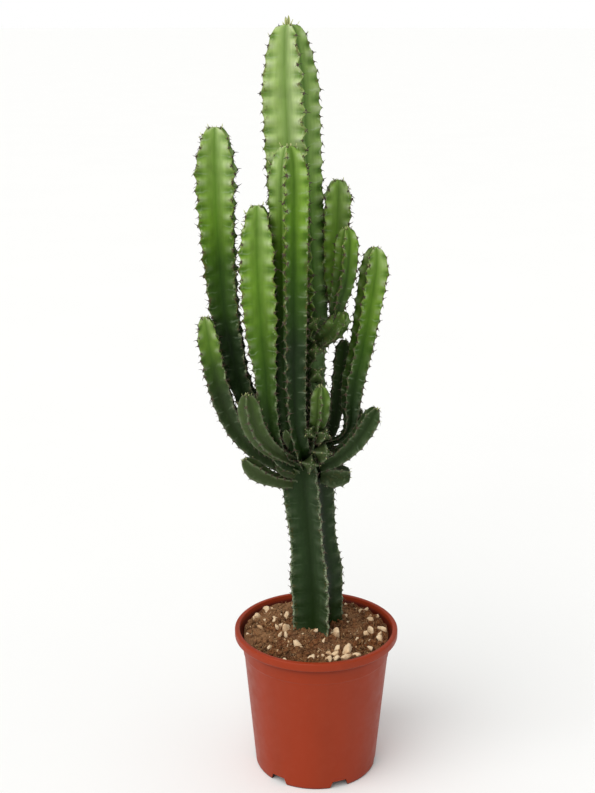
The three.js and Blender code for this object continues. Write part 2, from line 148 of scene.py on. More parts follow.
# Points up each flank and round each crest, of a stem and of a bud
STEM_POINTS = (7, 5)
BUD_POINTS = (5, 3)
CREST_HALF_TURN = math.radians(67.8)
CREST_ROUND_AT_TIP = 0.5
TOOTH_REACH = 2.1
TOOTH_POWER = 1.4
TOOTH_DIP = 0.22
TOOTH_WAVE = 0.1
TOOTH_AT_TIP = 0.45
FLANK_TOOTH_POWER = 9
FLANK_FOLD_POWER = 1.4
LINE_SHARES = np.linspace(0, 1, 401)
NUDGE = 1e-3
SKIN_ATTRIBUTES = ("rib_share", "fold", "tooth", "age", "painted_shade_grey", "wax_and_fill_light", "rough", "site")

# Spines and leaves
SPINES_FROM_HEIGHT = 158
SPINE_LEAN = 38
SPINE_CURL = 34
SPINE_SPREAD = 0.35
SPINE_DROOP = 0.9
SPINE_TILTS = (0.35, 0.25, 1)
SPINE_TAPER = 0.1
# A pair's size against the full one, drawn between these
SPINE_SIZES = (0.65, 1.15)
SHIELD_FOOT = 1.3
SHIELD_TOP = 0.6
SHIELD_HEIGHT = 1.1
SHIELD_SCALE = (0.85, 1.7, 1)
SHIELD_SHIFT = (0, -0.2, -0.3)
BURIED_SHARE = 0.78
BURIED_MARGIN = 0.5
LEAF_WIDTH = 0.17
LEAF_THICKNESS = 0.05
LEAFLET_LENGTHS = (2.6, 5)
CROWN_RADIUS = 1.4
CROWN_LEAVES = 6
CROWN_LENGTHS = (1.8, 3.4)
# A short crown leaf leans out further than a long one
LONG_LEAF = 7
SHORT_LEAF_LEAN = 2.5
# How far down from a tip the leaflets reach, and the long leaves of the main stem's tip as turn and length
LEAFY_REACH = 26
LEAFY_REACH_OF_BUD = 18.2
TALL_LEAVES = [(20, 9.4), (60, 5), (95, 6.6), (140, 5.5), (200, 7.6), (250, 6.2), (310, 8), (345, 5)]

# The side the light falls from: flanks facing it get painted light, flanks facing away get painted shade
LIGHT_SIDE = Vector((-0.85, -0.42, 0.31))

# Seeds of the random draws
MAIN_SEED = 3
BRANCH_SEED = 10
BUD_SEED_STEP = 0.37
LEAF_SEED = 5
CRUMB_SEED = 21
FIBRE_SEED = 33
PUMICE_SEED = 44

# Pumice grains on the soil that stand out one by one: x, y and size
PUMICE_GRAINS = [
    (-67, 33, 7.5), (-54, 48, 5), (-47, 50, 3), (-31, 26, 5), (-43, 21, 5), (-59, 8, 4), (-41, 5, 5),
    (-37, 9, 5), (-31, -2, 6), (-31, -11, 4), (-38, -13, 4), (-48, -36, 4), (-40, -44, 3), (-21, -34, 7.5),
    (-7, -58, 7.5), (7, -25, 4), (0, -7, 3.5), (21, -13, 7.5), (12, -49, 5), (18, -52, 6), (22, -43, 6),
    (31, -47, 9.5), (29, -58, 7), (39, -55, 7), (12, -61, 5), (20, -60, 6), (54, -39, 5), (57, -4, 6),
    (51, -10, 5), (73, 3, 6.5), (70, -19, 7), (69, 32, 4), (58, 24, 5), (49, 39, 4.5), (56, 48, 4),
    (42, -19, 3), (34, 62, 3), (66, -12, 5), (4, 64, 4.5), (-12, 60, 4),
]

# Camera, fitted to the pot's ellipses and the plant's height, and studio
CAMERA_HEIGHT = 782
CAMERA_DISTANCE = 1262
CAMERA_X = -19.5
CAMERA_TILT = 73.38
CAMERA_LENS = 60.24
CAMERA_SENSOR = 36
KEY_FROM = (-1.15, -1.35, 1.9)
FLOOR_RADIUS = 40


def smooth_line(points, t):
    """Points of a uniform Catmull-Rom line, its ends carried straight on, at shares t of its spans."""
    points = np.array(points, float)
    padded = np.vstack([2 * points[0] - points[1], points, 2 * points[-1] - points[-2]])
    place = np.clip(t, 0, 1) * (len(points) - 1)
    first = np.minimum(place.astype(int), len(points) - 2)
    w = (place - first)[:, None]
    a, b, c, d = (padded[first + k] for k in range(4))
    return 0.5 * (2 * b + (c - a) * w + (2 * a - 5 * b + 4 * c - d) * w**2 + (3 * b - a - 3 * c + d) * w**3)


class Stem:
    """A stem or bud: its centre line, its form and the look of its skin.

    A path point is x, y, z and the crest radius there, from the root to the tip. The age is given at the
    tip, where 0 is young and 1 is old, and as the distance from the tip where it is old.
    """

    is_bud = False
    seed = MAIN_SEED

    # The greying share paints shade on stems that sit in the shade; the wax share paints a waxy tone with
    # fill light on the side away from the light, low on the main stem
    def __init__(self, node, turn, taper, age, painted_shade_grey, path, slot="branch_skin", valley=VALLEY, wax_and_fill_light=0, rough=1):
        self.node = node
        self.turn = math.radians(turn)
        self.taper = taper
        self.age = age
        self.painted_shade_grey = painted_shade_grey
        self.path = path
        self.slot = slot
        self.valley = valley
        self.wax_and_fill_light = wax_and_fill_light
        self.rough = rough
        line = smooth_line([point[:3] for point in path], LINE_SHARES)
        self.lengths = np.concatenate([[0], np.cumsum(np.linalg.norm(np.diff(line, axis=0), axis=1))])
        self.length = self.lengths[-1]
        mean_radius = sum(point[3] for point in path) / len(path)
        self.steps = round(self.length / (SITE_SPACING + SITE_SPACING_PER_RADIUS * mean_radius))
        self.spacing = self.length / self.steps


def bud(turn, path, age=(0.7, 60), painted_shade_grey=0.5, valley=BUD_VALLEY, rough=1):
    """A stubby bud of the main stem, in the same form as a branch but with shallower valleys."""
    made = Stem("stem_main", turn, 1.3, age, painted_shade_grey, path, "main_stem_skin", valley, rough=rough)
    made.is_bud = True
    return made


MAIN_STEM = Stem("stem_main", 22, 1.9, (-0.3, 370), 0, slot="main_stem_skin", wax_and_fill_light=0.55, path=[
    (3, 10, 75, 26), (2, 10, 148, 28), (1.5, 10, 185, 28.5), (0, 10, 212, 29.5), (-3, 9, 248, 25.5),
    (-7, 8, 292, 27.5), (-12, 8, 346, 27.5), (-15.5, 8, 420, 25.5), (-15.5, 8, 491, 28),
    (-18, 7, 551, 29), (-21.5, 6, 609, 28.5), (-25, 5, 684, 29), (-28.5, 4, 760, 29),
])
BRANCHES = [
    Stem("branch_left_front", 45, 1.7, (0.24, 265), 0, path=[
        (-21, 0, 332, 9), (-35, -14, 346, 10), (-44, -26, 373, 11.5), (-48.5, -32, 406, 13.5),
        (-50, -33, 438, 14.5), (-52.5, -34, 465, 18.5), (-54.5, -34, 495, 21.5), (-57, -34, 545, 22.5),
        (-57, -34, 599, 21),
    ]),
    Stem("branch_front", -11, 1.5, (0.22, 190), 0, path=[
        (-14, 2, 336, 10), (-19, -18, 358, 11.5), (-24, -30, 386, 13.5), (-26.5, -36, 428, 15.5),
        (-27.5, -38, 492, 17.5), (-27.5, -38, 569, 18.5), (-27.5, -37, 654, 19.5),
    ]),
    Stem("branch_left_tall", 45, 1.5, (0.1, 200), 0, path=[
        (-27, 8, 337, 9), (-50, 8, 362, 11), (-67, 7, 395, 13), (-78.5, 7, 425, 14.5),
        (-84.5, 6, 456, 16.5), (-90, 5, 487, 18.5), (-93.5, 4, 528, 20.5), (-96.5, 3, 582, 23),
        (-97, 3, 622, 25.5), (-97, 2, 667, 26),
    ]),
    Stem("branch_left_long", -40, 1.4, (0.22, 80), 0.2, path=[
        (-18, 2, 320, 7), (-49, -4, 342, 9.5), (-66, -8, 356, 11), (-83.5, -10, 380, 12.5),
        (-95.5, -11, 413, 14), (-104, -15, 455, 14), (-108.5, -17, 489, 13),
    ]),
    Stem("branch_front_left_short", -8, 1.2, (0.66, 130), 0.5, slot="shaded_branch_skin", path=[
        (-25, -8, 340, 6.5), (-40, -28, 355, 8), (-49.5, -40, 367, 9.5), (-58, -47, 381, 11),
        (-64, -50, 397, 11.5), (-67.5, -53, 422, 11.5),
    ]),
    Stem("branch_left_lowest", 40, 1.2, (0.7, 120), 0.5, slot="shaded_branch_skin", path=[
        (-25, 0, 315, 6.5), (-36, -8, 319, 7.5), (-47, -13, 324, 8.5), (-57.5, -17, 331, 10.5),
        (-66.5, -20, 339, 10.5), (-72.5, -22, 346, 9.5),
    ]),
    Stem("branch_right_upper", 45, 0.9, (0.22, 190), 0.1, path=[
        (-1.5, 12, 454, 5.5), (15.5, 16, 467, 7), (19.5, 17, 481, 7.5), (17.5, 18, 499, 9.5),
        (16.5, 18, 524, 14), (17.5, 18, 549, 16.5), (18.5, 18, 575, 17.5), (20, 18, 616, 17.5),
    ]),
    Stem("branch_right_mid", -16, 1.1, (0.38, 85), 0.15, path=[
        (10, -4, 466, 5), (16, -9, 479, 6), (18, -14, 494, 7), (20, -17, 507, 8.5), (22.5, -19, 517, 10),
        (25.5, -20, 535, 11.5), (27, -20, 554, 11.5), (27.5, -20, 576, 11.5),
    ]),
    Stem("branch_right_tall", 60, 1.3, (0.24, 165), 0, path=[
        (1, 4, 351, 6), (11, 3, 356, 5), (22, 2, 360, 4), (29.5, 1, 368, 5), (33, 0, 380, 7.5),
        (33.5, 0, 395, 10.5), (35.5, 0, 420, 12.5), (40, 0, 440, 12.5), (45.5, 0, 470, 13.5),
        (50, 0, 502, 14.5), (54.5, 0, 533, 15.5), (55.5, 0, 554, 15.5),
    ]),
    Stem("branch_right_back", 45, 1.2, (0.92, 60), 0.1, slot="shaded_branch_skin", path=[
        (2, 18, 341, 6.5), (15, 24, 363, 8), (21, 27, 394, 10), (25, 28, 425, 11.5), (27.5, 28, 455, 11.5),
    ]),
    Stem("branch_right_low", 45, 1.2, (0.92, 80), 0.1, slot="shaded_branch_skin", path=[
        (3, -2, 333, 7), (20, -8, 344, 9.5), (36, -12, 360, 11), (47, -14, 376, 11.5), (58, -16, 397, 12),
    ]),
    Stem("branch_front_right_short", 5, 1.2, (0.4, 120), 0.25, slot="shaded_branch_skin", path=[
        (-7, -2, 361, 6), (-2, -18, 375, 7.5), (2, -27, 395, 9.5), (3, -31, 424, 10),
    ]),
    Stem("branch_back_tall", 30, 1.5, (0.4, 200), 0, path=[
        (-9, 20, 337, 9), (-10, 40, 358, 11.5), (-13, 51, 394, 14), (-15, 54, 448, 16), (-17, 53, 512, 17),
        (-18, 52, 576, 17),
    ]),
    Stem("branch_back_short", -30, 1.4, (0.6, 150), 0.3, slot="shaded_branch_skin", path=[
        (-22, 18, 324, 8), (-37, 33, 340, 10.5), (-46, 42, 366, 12), (-49, 46, 404, 12.5),
        (-50, 46, 438, 12),
    ]),
]

# Stubby buds of the main stem: turn, path and what differs
BUDS = [
    bud(30, [(-6, -8, 371, 8), (-9, -33, 379, 10)]),
    bud(15, [(0, -6, 365, 8), (8, -31, 376, 10)]),
    bud(40, [(0, -4, 349, 9), (9, -33, 357, 12)]),
    bud(5, [(-8, -6, 337, 8), (-6, -31, 345, 11)]),
    bud(
        45, [(4, 4, 322, 10), (19, 3, 321, 15), (33, 2, 322, 17.5)],
        age=(1, 60), painted_shade_grey=0.25, valley=0.45, rough=2.4,
    ),
    bud(45, [(-22, 2, 324, 8), (-41, -8, 336, 10)]),
    bud(30, [(-20, -8, 353, 7), (-31, -30, 380, 9)]),
    bud(45, [(-6, -10, 481, 8), (-4, -29, 489, 11)]),
    bud(20, [(-5, -10, 453, 8), (-2, -29, 461, 11)]),
    bud(60, [(-4, -9, 427, 8), (0, -29, 438, 11)]),
    bud(45, [(3, 10, 342, 6), (25, 12, 346, 6.5), (37, 13, 359, 8), (43, 13, 387, 9.5)]),
    bud(
        20, [(-8, 2, 453, 8), (3, -4, 463, 9.5), (12, -9, 472, 12), (20, -13, 484, 13.5), (24, -15, 495, 13)],
        age=(0.6, 60), painted_shade_grey=0.3, valley=0.45, rough=2.6,
    ),
]

for number, branch in enumerate(BRANCHES):
    branch.seed = BRANCH_SEED + number
for number, stub in enumerate(BUDS, 1):
    stub.seed = MAIN_SEED + BUD_SEED_STEP * number
ALL_STEMS = [MAIN_STEM, *BRANCHES, *BUDS]
TRUNK_X, TRUNK_Y = MAIN_STEM.path[1][:2]


def linear(red, green, blue):
    """A colour in display values from 0 to 255, as the linear one that Blender's sockets hold."""
    shares = (value / 255 for value in (red, green, blue))
    return tuple(s / 12.92 if s <= 0.04045 else ((s + 0.055) / 1.055) ** 2.4 for s in shares)


def colour(name, description, *shade):
    """A colour that the user can change, with its default in display values."""
    return bpy.props.FloatVectorProperty(
        name=name, description=description, subtype="COLOR", size=3, min=0, max=1, default=linear(*shade)
    )


def millimetres(name, description, length):
    """A length that the user can change."""
    return bpy.props.FloatProperty(
        name=name, description=description, default=length * MM, min=0, unit="LENGTH", precision=4
    )


def count(name, description, pieces):
    """A number of loose pieces that the user can change."""
    return bpy.props.IntProperty(name=name, description=description, default=pieces, min=0)


def strength(name, description, default, unit="NONE"):
    """A strength, an angle or a lens that the user can change."""
    return bpy.props.FloatProperty(name=name, description=description, default=default, unit=unit)


class EuphorbiaPotSettings(bpy.types.PropertyGroup):
    """The nursery pot's finish"""

    plastic: colour("Plastic", "Colour of the moulded plastic", 147, 49, 17)
    streak: colour("Streaks", "Duller tone of the upright flow marks", 138, 49, 20)
    bloom: colour("Bloom", "Dusty tone that dulls the plastic in patches", 150, 60, 34)


class EuphorbiaSoilSettings(bpy.types.PropertyGroup):
    """The potting mix"""

    peat: colour("Peat", "Colour of the potting mix", 114, 66, 33)
    dark_peat: colour("Damp peat", "Colour of its damp hollows", 42, 20, 8)
    fibre: colour("Fibres", "Colour of the straw-like fibres", 170, 134, 88)
    pumice: colour("Pumice", "Colour of the pumice grains", 232, 206, 168)
    relief: millimetres("Relief", "Height of the clods in the surface", 2.1)
    crumbs: count("Crumbs", "Loose crumbs on the surface", 1500)
    fibres: count("Fibres", "Loose fibres on the surface", 460)
    chips: count("Chips", "Small chips of pumice", 90)


class EuphorbiaStemSettings(bpy.types.PropertyGroup):
    """The stems and their spines"""

    fold_depth: millimetres("Fold depth", "How far a full-grown crest swings to each side", 2.1)
    tooth: millimetres("Tooth", "Height of the tooth at each spine site", 1.15)
    crest_radius: millimetres("Crest radius", "Rounding of a full-grown crest", 1)
    spine_length: millimetres("Spine length", "Length of a full-grown spine", 4.4)
    spine_radius: millimetres("Spine radius", "Radius of a spine at its root", 0.5)
    young: colour("Young skin", "Colour at a growing tip", 162, 188, 108)
    fresh: colour("Fresh skin", "Colour a hand's width under the tip", 126, 165, 55)
    mature: colour("Mature skin", "Colour of the middle of a long stem", 74, 108, 32)
    old: colour("Old skin", "Colour of the trunk and the oldest stems", 41, 60, 31)
    cork: colour("Cork", "Colour of the hardened crests", 156, 166, 136)
    spine: colour("Spine", "Colour of the spines", 48, 36, 24)


class EuphorbiaStudioSettings(bpy.types.PropertyGroup):
    """The floor, the light and the camera"""

    floor: colour("Floor", "Colour of the plain floor", 246, 246, 244)
    key_power: strength("Key light", "Strength of the soft light", 1.9)
    key_width: strength("Key width", "How wide the soft light looks", math.radians(60), "ROTATION")
    sky: strength("Sky", "Strength of the even light all round", 0.66)
    backdrop: strength("Backdrop", "Brightness of the backdrop", 1)
    lens: strength("Lens", "Focal length of the camera", CAMERA_LENS, "CAMERA")


# Node helpers


class NodeTree:
    """Short calls for adding nodes to a material or a node group."""

    def __init__(self, tree):
        self.tree = tree

    def fill(self, node, inputs):
        """Sets inputs by name or number, each to a socket to link from, a colour or a plain value."""
        for name, value in inputs.items():
            socket = node.inputs[name]
            if isinstance(value, bpy.types.NodeSocket):
                self.tree.links.new(value, socket)
            else:
                socket.default_value = (*value, 1) if socket.type == "RGBA" else value
        return node

    def add(self, kind, inputs=None, **settings):
        node = self.tree.nodes.new(kind)
        for name, value in settings.items():
            setattr(node, name, value)
        return self.fill(node, inputs or {})

    def math(self, operation, first, second):
        return self.add("ShaderNodeMath", {0: first, 1: second}, operation=operation).outputs[0]

    def plus(self, first, second):
        return self.math("ADD", first, second)

    def times(self, product, *factors):
        for factor in factors:
            product = self.math("MULTIPLY", product, factor)
        return product

    def stretch(self, value, low, high, to_low=0.0, to_high=1.0):
        """Maps low..high to to_low..to_high, held at both ends."""
        inputs = {"Value": value, "From Min": low, "From Max": high, "To Min": to_low, "To Max": to_high}
        return self.add("ShaderNodeMapRange", inputs).outputs["Result"]

    def mix(self, share, first, second, blend="MIX"):
        """Mixes two colours by a share from 0 to 1."""
        node = self.add("ShaderNodeMix", {0: share}, data_type="RGBA", blend_type=blend, clamp_factor=True)
        return self.fill(node, {6: first, 7: second}).outputs[2]

    def ramp(self, value, stops):
        """A colour ramp with (place, colour) stops."""
        node = self.add("ShaderNodeValToRGB", {"Fac": value})
        elements = node.color_ramp.elements
        while len(elements) < len(stops):
            elements.new(1)
        for element, (place, shade) in zip(elements, stops):
            element.position = place
            element.color = (*shade, 1)
        return node.outputs["Color"]

    def noise(self, vector, scale, detail=3.0, roughness=0.55):
        inputs = {"Vector": vector, "Scale": scale, "Detail": detail, "Roughness": roughness}
        return self.add("ShaderNodeTexNoise", inputs).outputs["Fac"]

    def patches(self, vector, scale, low, high, to_low=0.0, to_high=1.0, detail=3.0):
        """Noise with its contrast stretched."""
        return self.stretch(self.noise(vector, scale, detail), low, high, to_low, to_high)

    def mapping(self, vector, scale=(1, 1, 1), location=(0, 0, 0)):
        inputs = {"Vector": vector, "Scale": scale, "Location": location}
        return self.add("ShaderNodeMapping", inputs).outputs["Vector"]

    def part(self, vector, axis):
        """One coordinate of a vector."""
        return self.add("ShaderNodeSeparateXYZ", {"Vector": vector}).outputs[axis]

    def attribute(self, name):
        return self.add("ShaderNodeAttribute", attribute_name=name).outputs["Fac"]


def place_group(nodes, values, name, inputs, outputs, wire):
    """Places a node group, made once: its sockets are given by name and kind, and wire links them."""
    group = bpy.data.node_groups.get(name)
    if not group:
        group = bpy.data.node_groups.new(name, "ShaderNodeTree")
        for side, sockets in (("INPUT", inputs), ("OUTPUT", outputs)):
            for socket, kind in sockets.items():
                group.interface.new_socket(socket, in_out=side, socket_type=f"NodeSocket{kind}")
        inner = NodeTree(group)
        wire(inner, inner.add("NodeGroupInput").outputs, inner.add("NodeGroupOutput"))
    return nodes.add("ShaderNodeGroup", values, node_tree=group).outputs


def soft_blotches(nodes, vector, colours, scale, amount):
    """Shifts the first of three colours towards the other two in soft blotches of two sizes."""

    def wire(inner, given, out):
        wide = inner.noise(given["Vector"], given["Scale"], 2.0)
        fine = inner.noise(given["Vector"], inner.times(given["Scale"], 6.5))
        dark = inner.times(inner.stretch(wide, 0.52, 0.72), given["Amount"])
        light = inner.times(inner.stretch(fine, 0.52, 0.75), given["Amount"])
        darker = inner.mix(dark, given["Color"], given["Dark"])
        inner.fill(out, {"Color": inner.mix(light, darker, given["Light"]), "Mask": wide})

    shades = ("Color", "Dark", "Light")
    inputs = {"Vector": "Vector", **dict.fromkeys(shades, "Color"), "Scale": "Float", "Amount": "Float"}
    values = {"Vector": vector, **dict(zip(shades, colours)), "Scale": scale, "Amount": amount}
    return place_group(nodes, values, "Soft Blotches", inputs, {"Color": "Color", "Mask": "Float"}, wire)


def bump(nodes, height, strength, distance):
    """The normal that a height gives, with distance in millimetres."""
    inputs = {"Height": height, "Strength": strength, "Distance": distance * MM}
    return nodes.add("ShaderNodeBump", inputs).outputs["Normal"]


def grain_bump(nodes, vector, scale, strength, distance):
    """The normal of a fine grain over a coarser one."""

    def wire(inner, given, out):
        coarse = inner.noise(given["Vector"], given["Scale"], 2.0)
        fine = inner.noise(given["Vector"], inner.times(given["Scale"], 4.0), 3.0, 0.6)
        inner.fill(out, {"Height": inner.plus(coarse, inner.times(fine, 0.4))})

    values = {"Vector": vector, "Scale": scale}
    inputs = {"Vector": "Vector", "Scale": "Float"}
    grain = place_group(nodes, values, "Grain Height", inputs, {"Height": "Float"}, wire)
    return bump(nodes, grain["Height"], strength, distance)


def new_material(name):
    """A material with one Principled BSDF, its node helper and the object's own coordinates."""
    material = bpy.data.materials.new(name)
    material.use_nodes = True
    nodes = NodeTree(material.node_tree)
    shader = next(node for node in material.node_tree.nodes if node.type == "BSDF_PRINCIPLED")
    return material, nodes, shader, nodes.add("ShaderNodeTexCoord").outputs["Object"]


# Materials


def lit_skin(nodes, at, skin):
    """Paints light and shade by the side the skin faces.

    The far side gets painted shade, and low on the main stem a waxy tone with painted fill light; the near
    side gets a pale painted sheen on young skin and painted shade on older skin.
    """
    facing_light, age, height = at["facing_light"], at["age"], at["height"]
    # Painted shade: darker and greener on the side away from the light
    skin = nodes.mix(nodes.stretch(facing_light, 0.25, -0.6), skin, (0.56, 0.68, 0.4), "MULTIPLY")
    # A waxy blue-green with painted fill light on the main stem's shaded side, low down
    waxy_fill_light = nodes.times(
        at["wax_and_fill_light"], nodes.stretch(facing_light, 0.1, -0.3), nodes.stretch(height, 0.36, 0.44),
        nodes.stretch(height, 0.62, 0.55, 0.3, 1),
    )
    skin = nodes.mix(waxy_fill_light, skin, linear(136, 168, 112))
    # Painted sheen: pale whitish light on young skin facing the light
    painted_sheen = nodes.times(nodes.stretch(facing_light, 0.35, 0.85, 0.0, 0.3), nodes.stretch(age, 0.1, 0.6, 1, 0.04))
    skin = nodes.mix(painted_sheen, skin, linear(196, 206, 168))
    # Painted shade on the side facing the light, on skin of middle age
    painted_shade_on_lit_side = nodes.times(
        nodes.stretch(facing_light, 0.35, 0.75), nodes.stretch(age, 0.2, 0.45), nodes.stretch(age, 0.95, 0.7)
    )
    return nodes.mix(painted_shade_on_lit_side, skin, (0.74, 0.74, 0.66), "MULTIPLY"), waxy_fill_light


def folded_skin(nodes, at, skin, waxy_fill_light):
    """Paints shade on the hollow side of each fold and a pale painted highlight on its full side, and draws a
    pale crease between spine sites.
    """
    place, rib, fold, age = at["place"], at["rib_share"], at["fold"], at["age"]
    # Painted shade in the hollow side of each fold
    painted_hollow_shade = nodes.times(
        nodes.stretch(fold, 0, -0.9), nodes.stretch(rib, 0.3, 0.85), nodes.stretch(age, 0.35, 0.9, 1, 0.45)
    )
    skin = nodes.mix(painted_hollow_shade, skin, nodes.mix(1.0, skin, (0.36, 0.48, 0.24), "MULTIPLY"))
    # The pale colour of the painted highlight on each fold's full side, also the light tone of the blotches
    bloom = nodes.mix(0.6, skin, linear(214, 222, 190))
    # Painted highlight on the full side of each fold
    painted_bulge_highlight = nodes.times(
        nodes.stretch(fold, 0.1, 1.1), nodes.stretch(rib, 0.4, 0.88), nodes.stretch(rib, 0.9, 1.0, 1, 0.3),
        nodes.stretch(age, 0.2, 0.85, 0.7, 0.08),
    )
    skin = nodes.mix(painted_bulge_highlight, skin, bloom)
    phase = nodes.math("PINGPONG", nodes.plus(at["site"], nodes.patches(place, 60, 0.3, 0.7, -0.3, 0.3)), 1.0)
    patchy = nodes.plus(nodes.patches(place, 30, 0.4, 0.6, 0.0, 0.4), nodes.times(waxy_fill_light, 1.6))
    crease = nodes.times(
        nodes.stretch(phase, 0.14, 0.02), nodes.stretch(rib, 0.25, 0.5),
        nodes.stretch(at["height"], 0.3, 0.42, 0.3, 1), patchy,
    )
    return nodes.mix(crease, skin, nodes.mix(0.5, skin, linear(186, 206, 170))), bloom


def crested_skin(nodes, at, skin, stems):
    """Pale, speckled and corky crests. Returns the colour and the share of cork."""
    place, rib, height = at["place"], at["rib_share"], at["height"]
    edge = nodes.times(
        nodes.stretch(rib, 0.7, 0.95), nodes.stretch(height, 0.47, 0.38, 0, 0.3),
        nodes.stretch(at["painted_shade_grey"], 0.05, 0.5),
    )
    skin = nodes.mix(edge, skin, linear(150, 162, 132))
    speckled = nodes.noise(place, 230)
    near_crest = nodes.math("MAXIMUM", nodes.stretch(rib, 0.74, 0.94), at["rough"])
    pale = nodes.times(
        nodes.stretch(speckled, 0.44, 0.34, 0, 0.5), near_crest, nodes.stretch(height, 0.36, 0.46, 0.3, 1)
    )
    skin = nodes.mix(pale, skin, linear(192, 204, 160))
    brown = nodes.times(nodes.stretch(speckled, 0.56, 0.66, 0, 0.65), near_crest)
    skin = nodes.mix(brown, skin, linear(84, 74, 40))
    ridge = nodes.plus(rib, nodes.patches(place, 520, 0.3, 0.7, -0.05, 0.05))
    low_down = nodes.plus(nodes.times(nodes.stretch(height, 0.33, 0.27), 0.7), 0.4)
    broken = nodes.patches(place, 130, 0.38, 0.6, 0.2, 0.95)
    lane = nodes.times(nodes.stretch(ridge, 0.95, 1.01), broken, low_down)
    shield = nodes.times(nodes.stretch(ridge, 0.86, 0.98), nodes.stretch(at["tooth"], 0.55, 1.0, 0, 0.65))
    cork = nodes.mix(nodes.stretch(height, 0.5, 0.38), linear(116, 104, 64), stems.cork)
    bark = nodes.mix(nodes.patches(place, 900, 0.45, 0.75, 0, 0.5, 2.0), cork, stems.spine)
    corky = nodes.math("MAXIMUM", lane, shield)
    return nodes.mix(corky, skin, bark), corky


def skin_material(stems):
    """Waxy green skin that darkens with its age, with corky crests and with painted light and shade."""
    material, nodes, shader, place = new_material("Euphorbia Skin")
    at = {name: nodes.attribute(name) for name in (*SKIN_ATTRIBUTES, "facing_light")}
    at["place"] = place
    at["height"] = nodes.part(place, "Z")
    uneven = nodes.patches(place, 14, 0.3, 0.7, -0.05, 0.05)
    at["age"] = nodes.plus(at["age"], uneven)
    ages = [(0.0, stems.young), (0.45, stems.fresh), (0.7, stems.mature), (1.0, stems.old)]
    skin = nodes.ramp(at["age"], ages)
    # Towards the bottom the skin turns to the old colour, partly for its age and partly as painted shade
    low = nodes.stretch(nodes.plus(at["height"], nodes.times(uneven, 0.6)), 0.47, 0.34)
    skin = nodes.mix(nodes.times(low, 0.85), skin, stems.old)
    skin, waxy_fill_light = lit_skin(nodes, at, skin)
    skin, bloom = folded_skin(nodes, at, skin, waxy_fill_light)
    streaks = nodes.patches(nodes.mapping(place, (1, 1, 0.12)), 260, 0.35, 0.7, 0, 0.22)
    skin = nodes.mix(streaks, skin, stems.old, "MULTIPLY")
    dark = tuple(0.6 * value for value in stems.old)
    blotched = soft_blotches(nodes, place, (skin, dark, nodes.mix(0.1, skin, bloom)), 45, 0.2)
    # Painted shade: the skin darkens into each valley between the ribs
    valley = nodes.stretch(at["rib_share"], 0.0, 0.55, 1, 0.0)
    skin = nodes.mix(valley, blotched["Color"], (0.4, 0.5, 0.28), "MULTIPLY")
    skin, corky = crested_skin(nodes, at, skin, stems)
    gloss = nodes.stretch(blotched["Mask"], 0.3, 0.7, 0.4, 0.54)
    # The base colour greys the stems that sit in the shade, as painted shade
    nodes.fill(shader, {
        "Base Color": nodes.mix(at["painted_shade_grey"], skin, linear(72, 83, 50)),
        "Roughness": nodes.plus(gloss, nodes.times(corky, 0.3)),
        "Specular IOR Level": 0.09,
        "Subsurface Weight": 0.04,
        "Subsurface Radius": (0.5, 1.0, 0.25),
        "Subsurface Scale": 0.003,
        "Normal": grain_bump(nodes, place, 520, 0.35, 0.25),
    })
    return material


def spine_material(stems):
    """Grey-brown horn, paler on the shield and darkest at the points."""
    material, nodes, shader, place = new_material("Spine Horn")
    point = nodes.attribute("point")
    horn = nodes.mix(nodes.stretch(point, 0.0, 0.3), linear(62, 52, 33), stems.spine)
    horn = nodes.mix(nodes.stretch(point, 0.6, 1.0, 0, 0.6), horn, linear(38, 28, 24))
    horn = nodes.mix(nodes.patches(place, 300, 0.4, 0.65, 0, 0.4), horn, linear(92, 70, 46))
    normal = bump(nodes, nodes.noise(place, 2500), 0.3, 0.1)
    nodes.fill(shader, {"Base Color": horn, "Roughness": 0.6, "Normal": normal})
    return material


def leaf_material():
    """Thin young leaves, dark along the middle with pale yellow edges."""
    material, nodes, shader, place = new_material("Young Leaf")
    pale = nodes.mix(nodes.noise(place, 500), linear(214, 216, 158), linear(158, 166, 92))
    green = nodes.mix(nodes.stretch(nodes.attribute("edge"), 0.1, 0.55), linear(92, 104, 44), pale)
    nodes.fill(shader, {"Base Color": green, "Roughness": 0.5})
    return material


